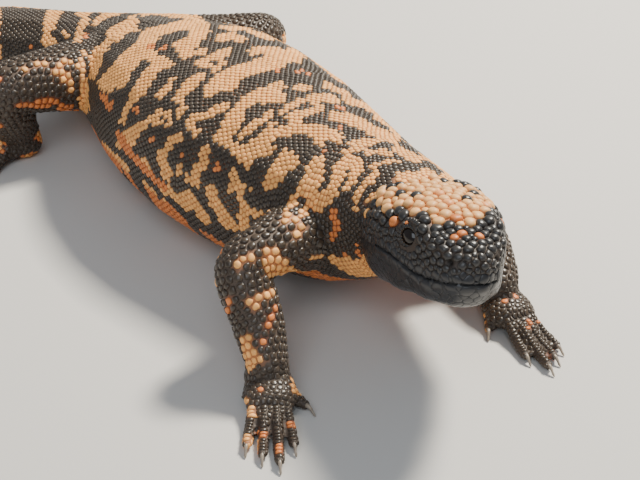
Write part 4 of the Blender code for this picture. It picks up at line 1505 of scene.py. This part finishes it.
# Shade lies in the mouth line and in the nostrils.
dark = np.exp(-((off_line / 0.055) ** 2)) * fade
for spot in nostrils:
    dark = np.maximum(dark, np.exp(-np.sum(((local - spot) / 0.16) ** 2, axis=1)))
skin_tint = skin_tint * (1 - 0.85 * np.clip(dark, 0, 1))[:, None]
colour = hide.attributes.new("tint", "FLOAT_COLOR", "POINT")
colour.data.foreach_set("color", np.hstack([skin_tint, np.ones((len(skin_tint), 1))]).astype(np.float32).ravel())
hide.shade_smooth()
skin = show("skin", hide)
hide.materials.clear()
hide.materials.append(seam_hide)
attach(skin, "root")
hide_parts(*FLESH)

# Claws: curved horn sheaths, worn blunt at the tips, each growing from its toe.
horn, bsdf, here = material("horn")
grain = here.node("ShaderNodeTexNoise", Vector=here, Scale=500.0, Detail=4.0)
plug(grain.between((0.14, 0.11, 0.09, 1), (0.46, 0.38, 0.29, 1)), bsdf.inputs["Base Color"])
bsdf.inputs["Roughness"].default_value = 0.35
CLAW_SHARE = 0.76  # the rest of a claw is under the soft tip of its toe
CLAW_SLIMMING = 0.12


def claw_point(claw, ahead):
    """The claw's sharp end: the vertex that reaches furthest out and down."""
    return max((v.co.copy() for v in claw.verts), key=lambda at: at.dot(ahead) - 0.6 * at.z)


for leg in LEGS:
    claws = bmesh.new()
    names = [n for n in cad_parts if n.startswith("claw_" + leg)]
    wrist, ahead = feet_axes[leg]
    sideways = Vector((-ahead.y, ahead.x, 0))
    for name in names:
        claw = bmesh.new()
        claw.from_mesh(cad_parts[name].data)
        point = claw_point(claw, ahead)
        for v in claw.verts:
            v.co = point + (v.co - point) * CLAW_SHARE
            v.co -= sideways * (v.co - point).dot(sideways) * CLAW_SLIMMING
        slim = bpy.data.meshes.new("slim claw")
        claw.to_mesh(slim)
        claw.free()
        claws.from_mesh(slim)
        bpy.data.meshes.remove(slim)
    bmesh.ops.remove_doubles(claws, verts=claws.verts, dist=1e-6)
    bmesh.ops.subdivide_edges(claws, edges=claws.edges, cuts=1, smooth=0.6, use_grid_fill=True)
    mesh = bpy.data.meshes.new("claws " + leg)
    claws.to_mesh(mesh)
    claws.free()
    mesh.shade_smooth()
    mesh.materials.append(horn)
    made = show("claws " + leg.replace("_", " "), mesh)
    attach(made, "root")
    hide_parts(*names)

# Eyelids: a low fold of hide round each eye, drawn to an oval that slants with
# the brow, with a paler edge against the eye. It covers the rim of the socket.
LID_PROFILE = (
    (2.62, -0.30),
    (2.46, 0.55),
    (2.56, 0.86),
    (2.80, 1.00),
    (3.25, 0.88),
    (3.80, 0.50),
    (4.45, -0.15),
    (5.15, -1.20),
    (3.40, -1.60),
)
LID_BROWN = (0.050, 0.038, 0.030)
LID_EDGE = (0.17, 0.105, 0.058)
for name, eye_frame in zip(("lids right", "lids left"), eye_frames):
    lid = bmesh.new()
    loop = [lid.verts.new((radius * MM, 0, height * MM)) for radius, height in LID_PROFILE]
    loop_edges = [lid.edges.new((loop[k], loop[(k + 1) % len(loop)])) for k in range(len(loop))]
    bmesh.ops.spin(lid, geom=loop + loop_edges, cent=(0, 0, 0), axis=(0, 0, 1), angle=2 * pi, steps=48)
    bmesh.ops.remove_doubles(lid, verts=lid.verts, dist=1e-6)
    bmesh.ops.recalc_face_normals(lid, faces=lid.faces)
    lid.verts.ensure_lookup_table()
    edge = [v.co.xy.length < 2.85 * MM and v.co.z > 0.8 * MM for v in lid.verts]
    bmesh.ops.transform(lid, matrix=eye_frame, verts=lid.verts)
    mesh = bpy.data.meshes.new(name)
    lid.to_mesh(mesh)
    lid.free()
    mesh.shade_smooth()
    colour = mesh.attributes.new("tint", "FLOAT_COLOR", "POINT")
    for at, is_edge in enumerate(edge):
        colour.data[at].color = (*(LID_EDGE if is_edge else LID_BROWN), 1)
    mesh.materials.append(scaled)
    made = show(name, mesh)
    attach(made, "root")

# Eyes: dark, wet balls deep in the head, with a near black iris.
wet, bsdf, here = material("wet eye")
bsdf.inputs["Base Color"].default_value = (0.012, 0.007, 0.005, 1)
bsdf.inputs["Roughness"].default_value = 0.08
EYE_RADIUS = 3.3 * MM
EYE_DEPTH = 1.78 * MM  # from the level of the cheek to the middle of the ball
for name, eye_frame in zip(("eye_right", "eye_left"), eye_frames):
    ball = bmesh.new()
    sunk = eye_frame @ Matrix.Translation((0, 0, -EYE_DEPTH))
    bmesh.ops.create_uvsphere(ball, u_segments=40, v_segments=24, radius=EYE_RADIUS, matrix=sunk)
    mesh = bpy.data.meshes.new(name)
    ball.to_mesh(mesh)
    ball.free()
    mesh.shade_smooth()
    mesh.materials.append(wet)
    made = show(name.replace("_", " ") + " ball", mesh)
    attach(made, "root")
    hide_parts(name)

# The floor and the lights: a pale sweep under a big soft sun from behind.
pale, bsdf, here = material("pale floor")
bsdf.inputs["Base Color"].default_value = (0.62, 0.60, 0.57, 1)
bsdf.inputs["Roughness"].default_value = 0.8
ground = bmesh.new()
bmesh.ops.create_grid(ground, x_segments=1, y_segments=1, size=6)
mesh = bpy.data.meshes.new("floor")
ground.to_mesh(mesh)
ground.free()
mesh.materials.append(pale)
floor = show("floor", mesh)


def lamp(name, place, width, power, colour):
    light = bpy.data.lights.new(name, "AREA")
    light.size = width
    light.energy = power
    light.color = colour
    made = bpy.data.objects.new(name, light)
    bpy.context.scene.collection.objects.link(made)
    made.location = place
    made.rotation_mode = "QUATERNION"
    made.rotation_quaternion = (Vector((0, 0, 0.03)) - Vector(place)).to_track_quat("-Z", "Y")
    return made


lamp("key", (0.80, 0.10, 1.10), 0.26, 45, (1.0, 0.94, 0.82))
lamp("sky", (-0.9, -0.9, 1.3), 1.2, 13, (0.85, 0.92, 1.0))
world = bpy.data.worlds.new("studio")
world.use_nodes = True
world.node_tree.nodes["Background"].inputs["Color"].default_value = (0.80, 0.85, 0.92, 1)
world.node_tree.nodes["Background"].inputs["Strength"].default_value = 0.35
bpy.context.scene.world = world
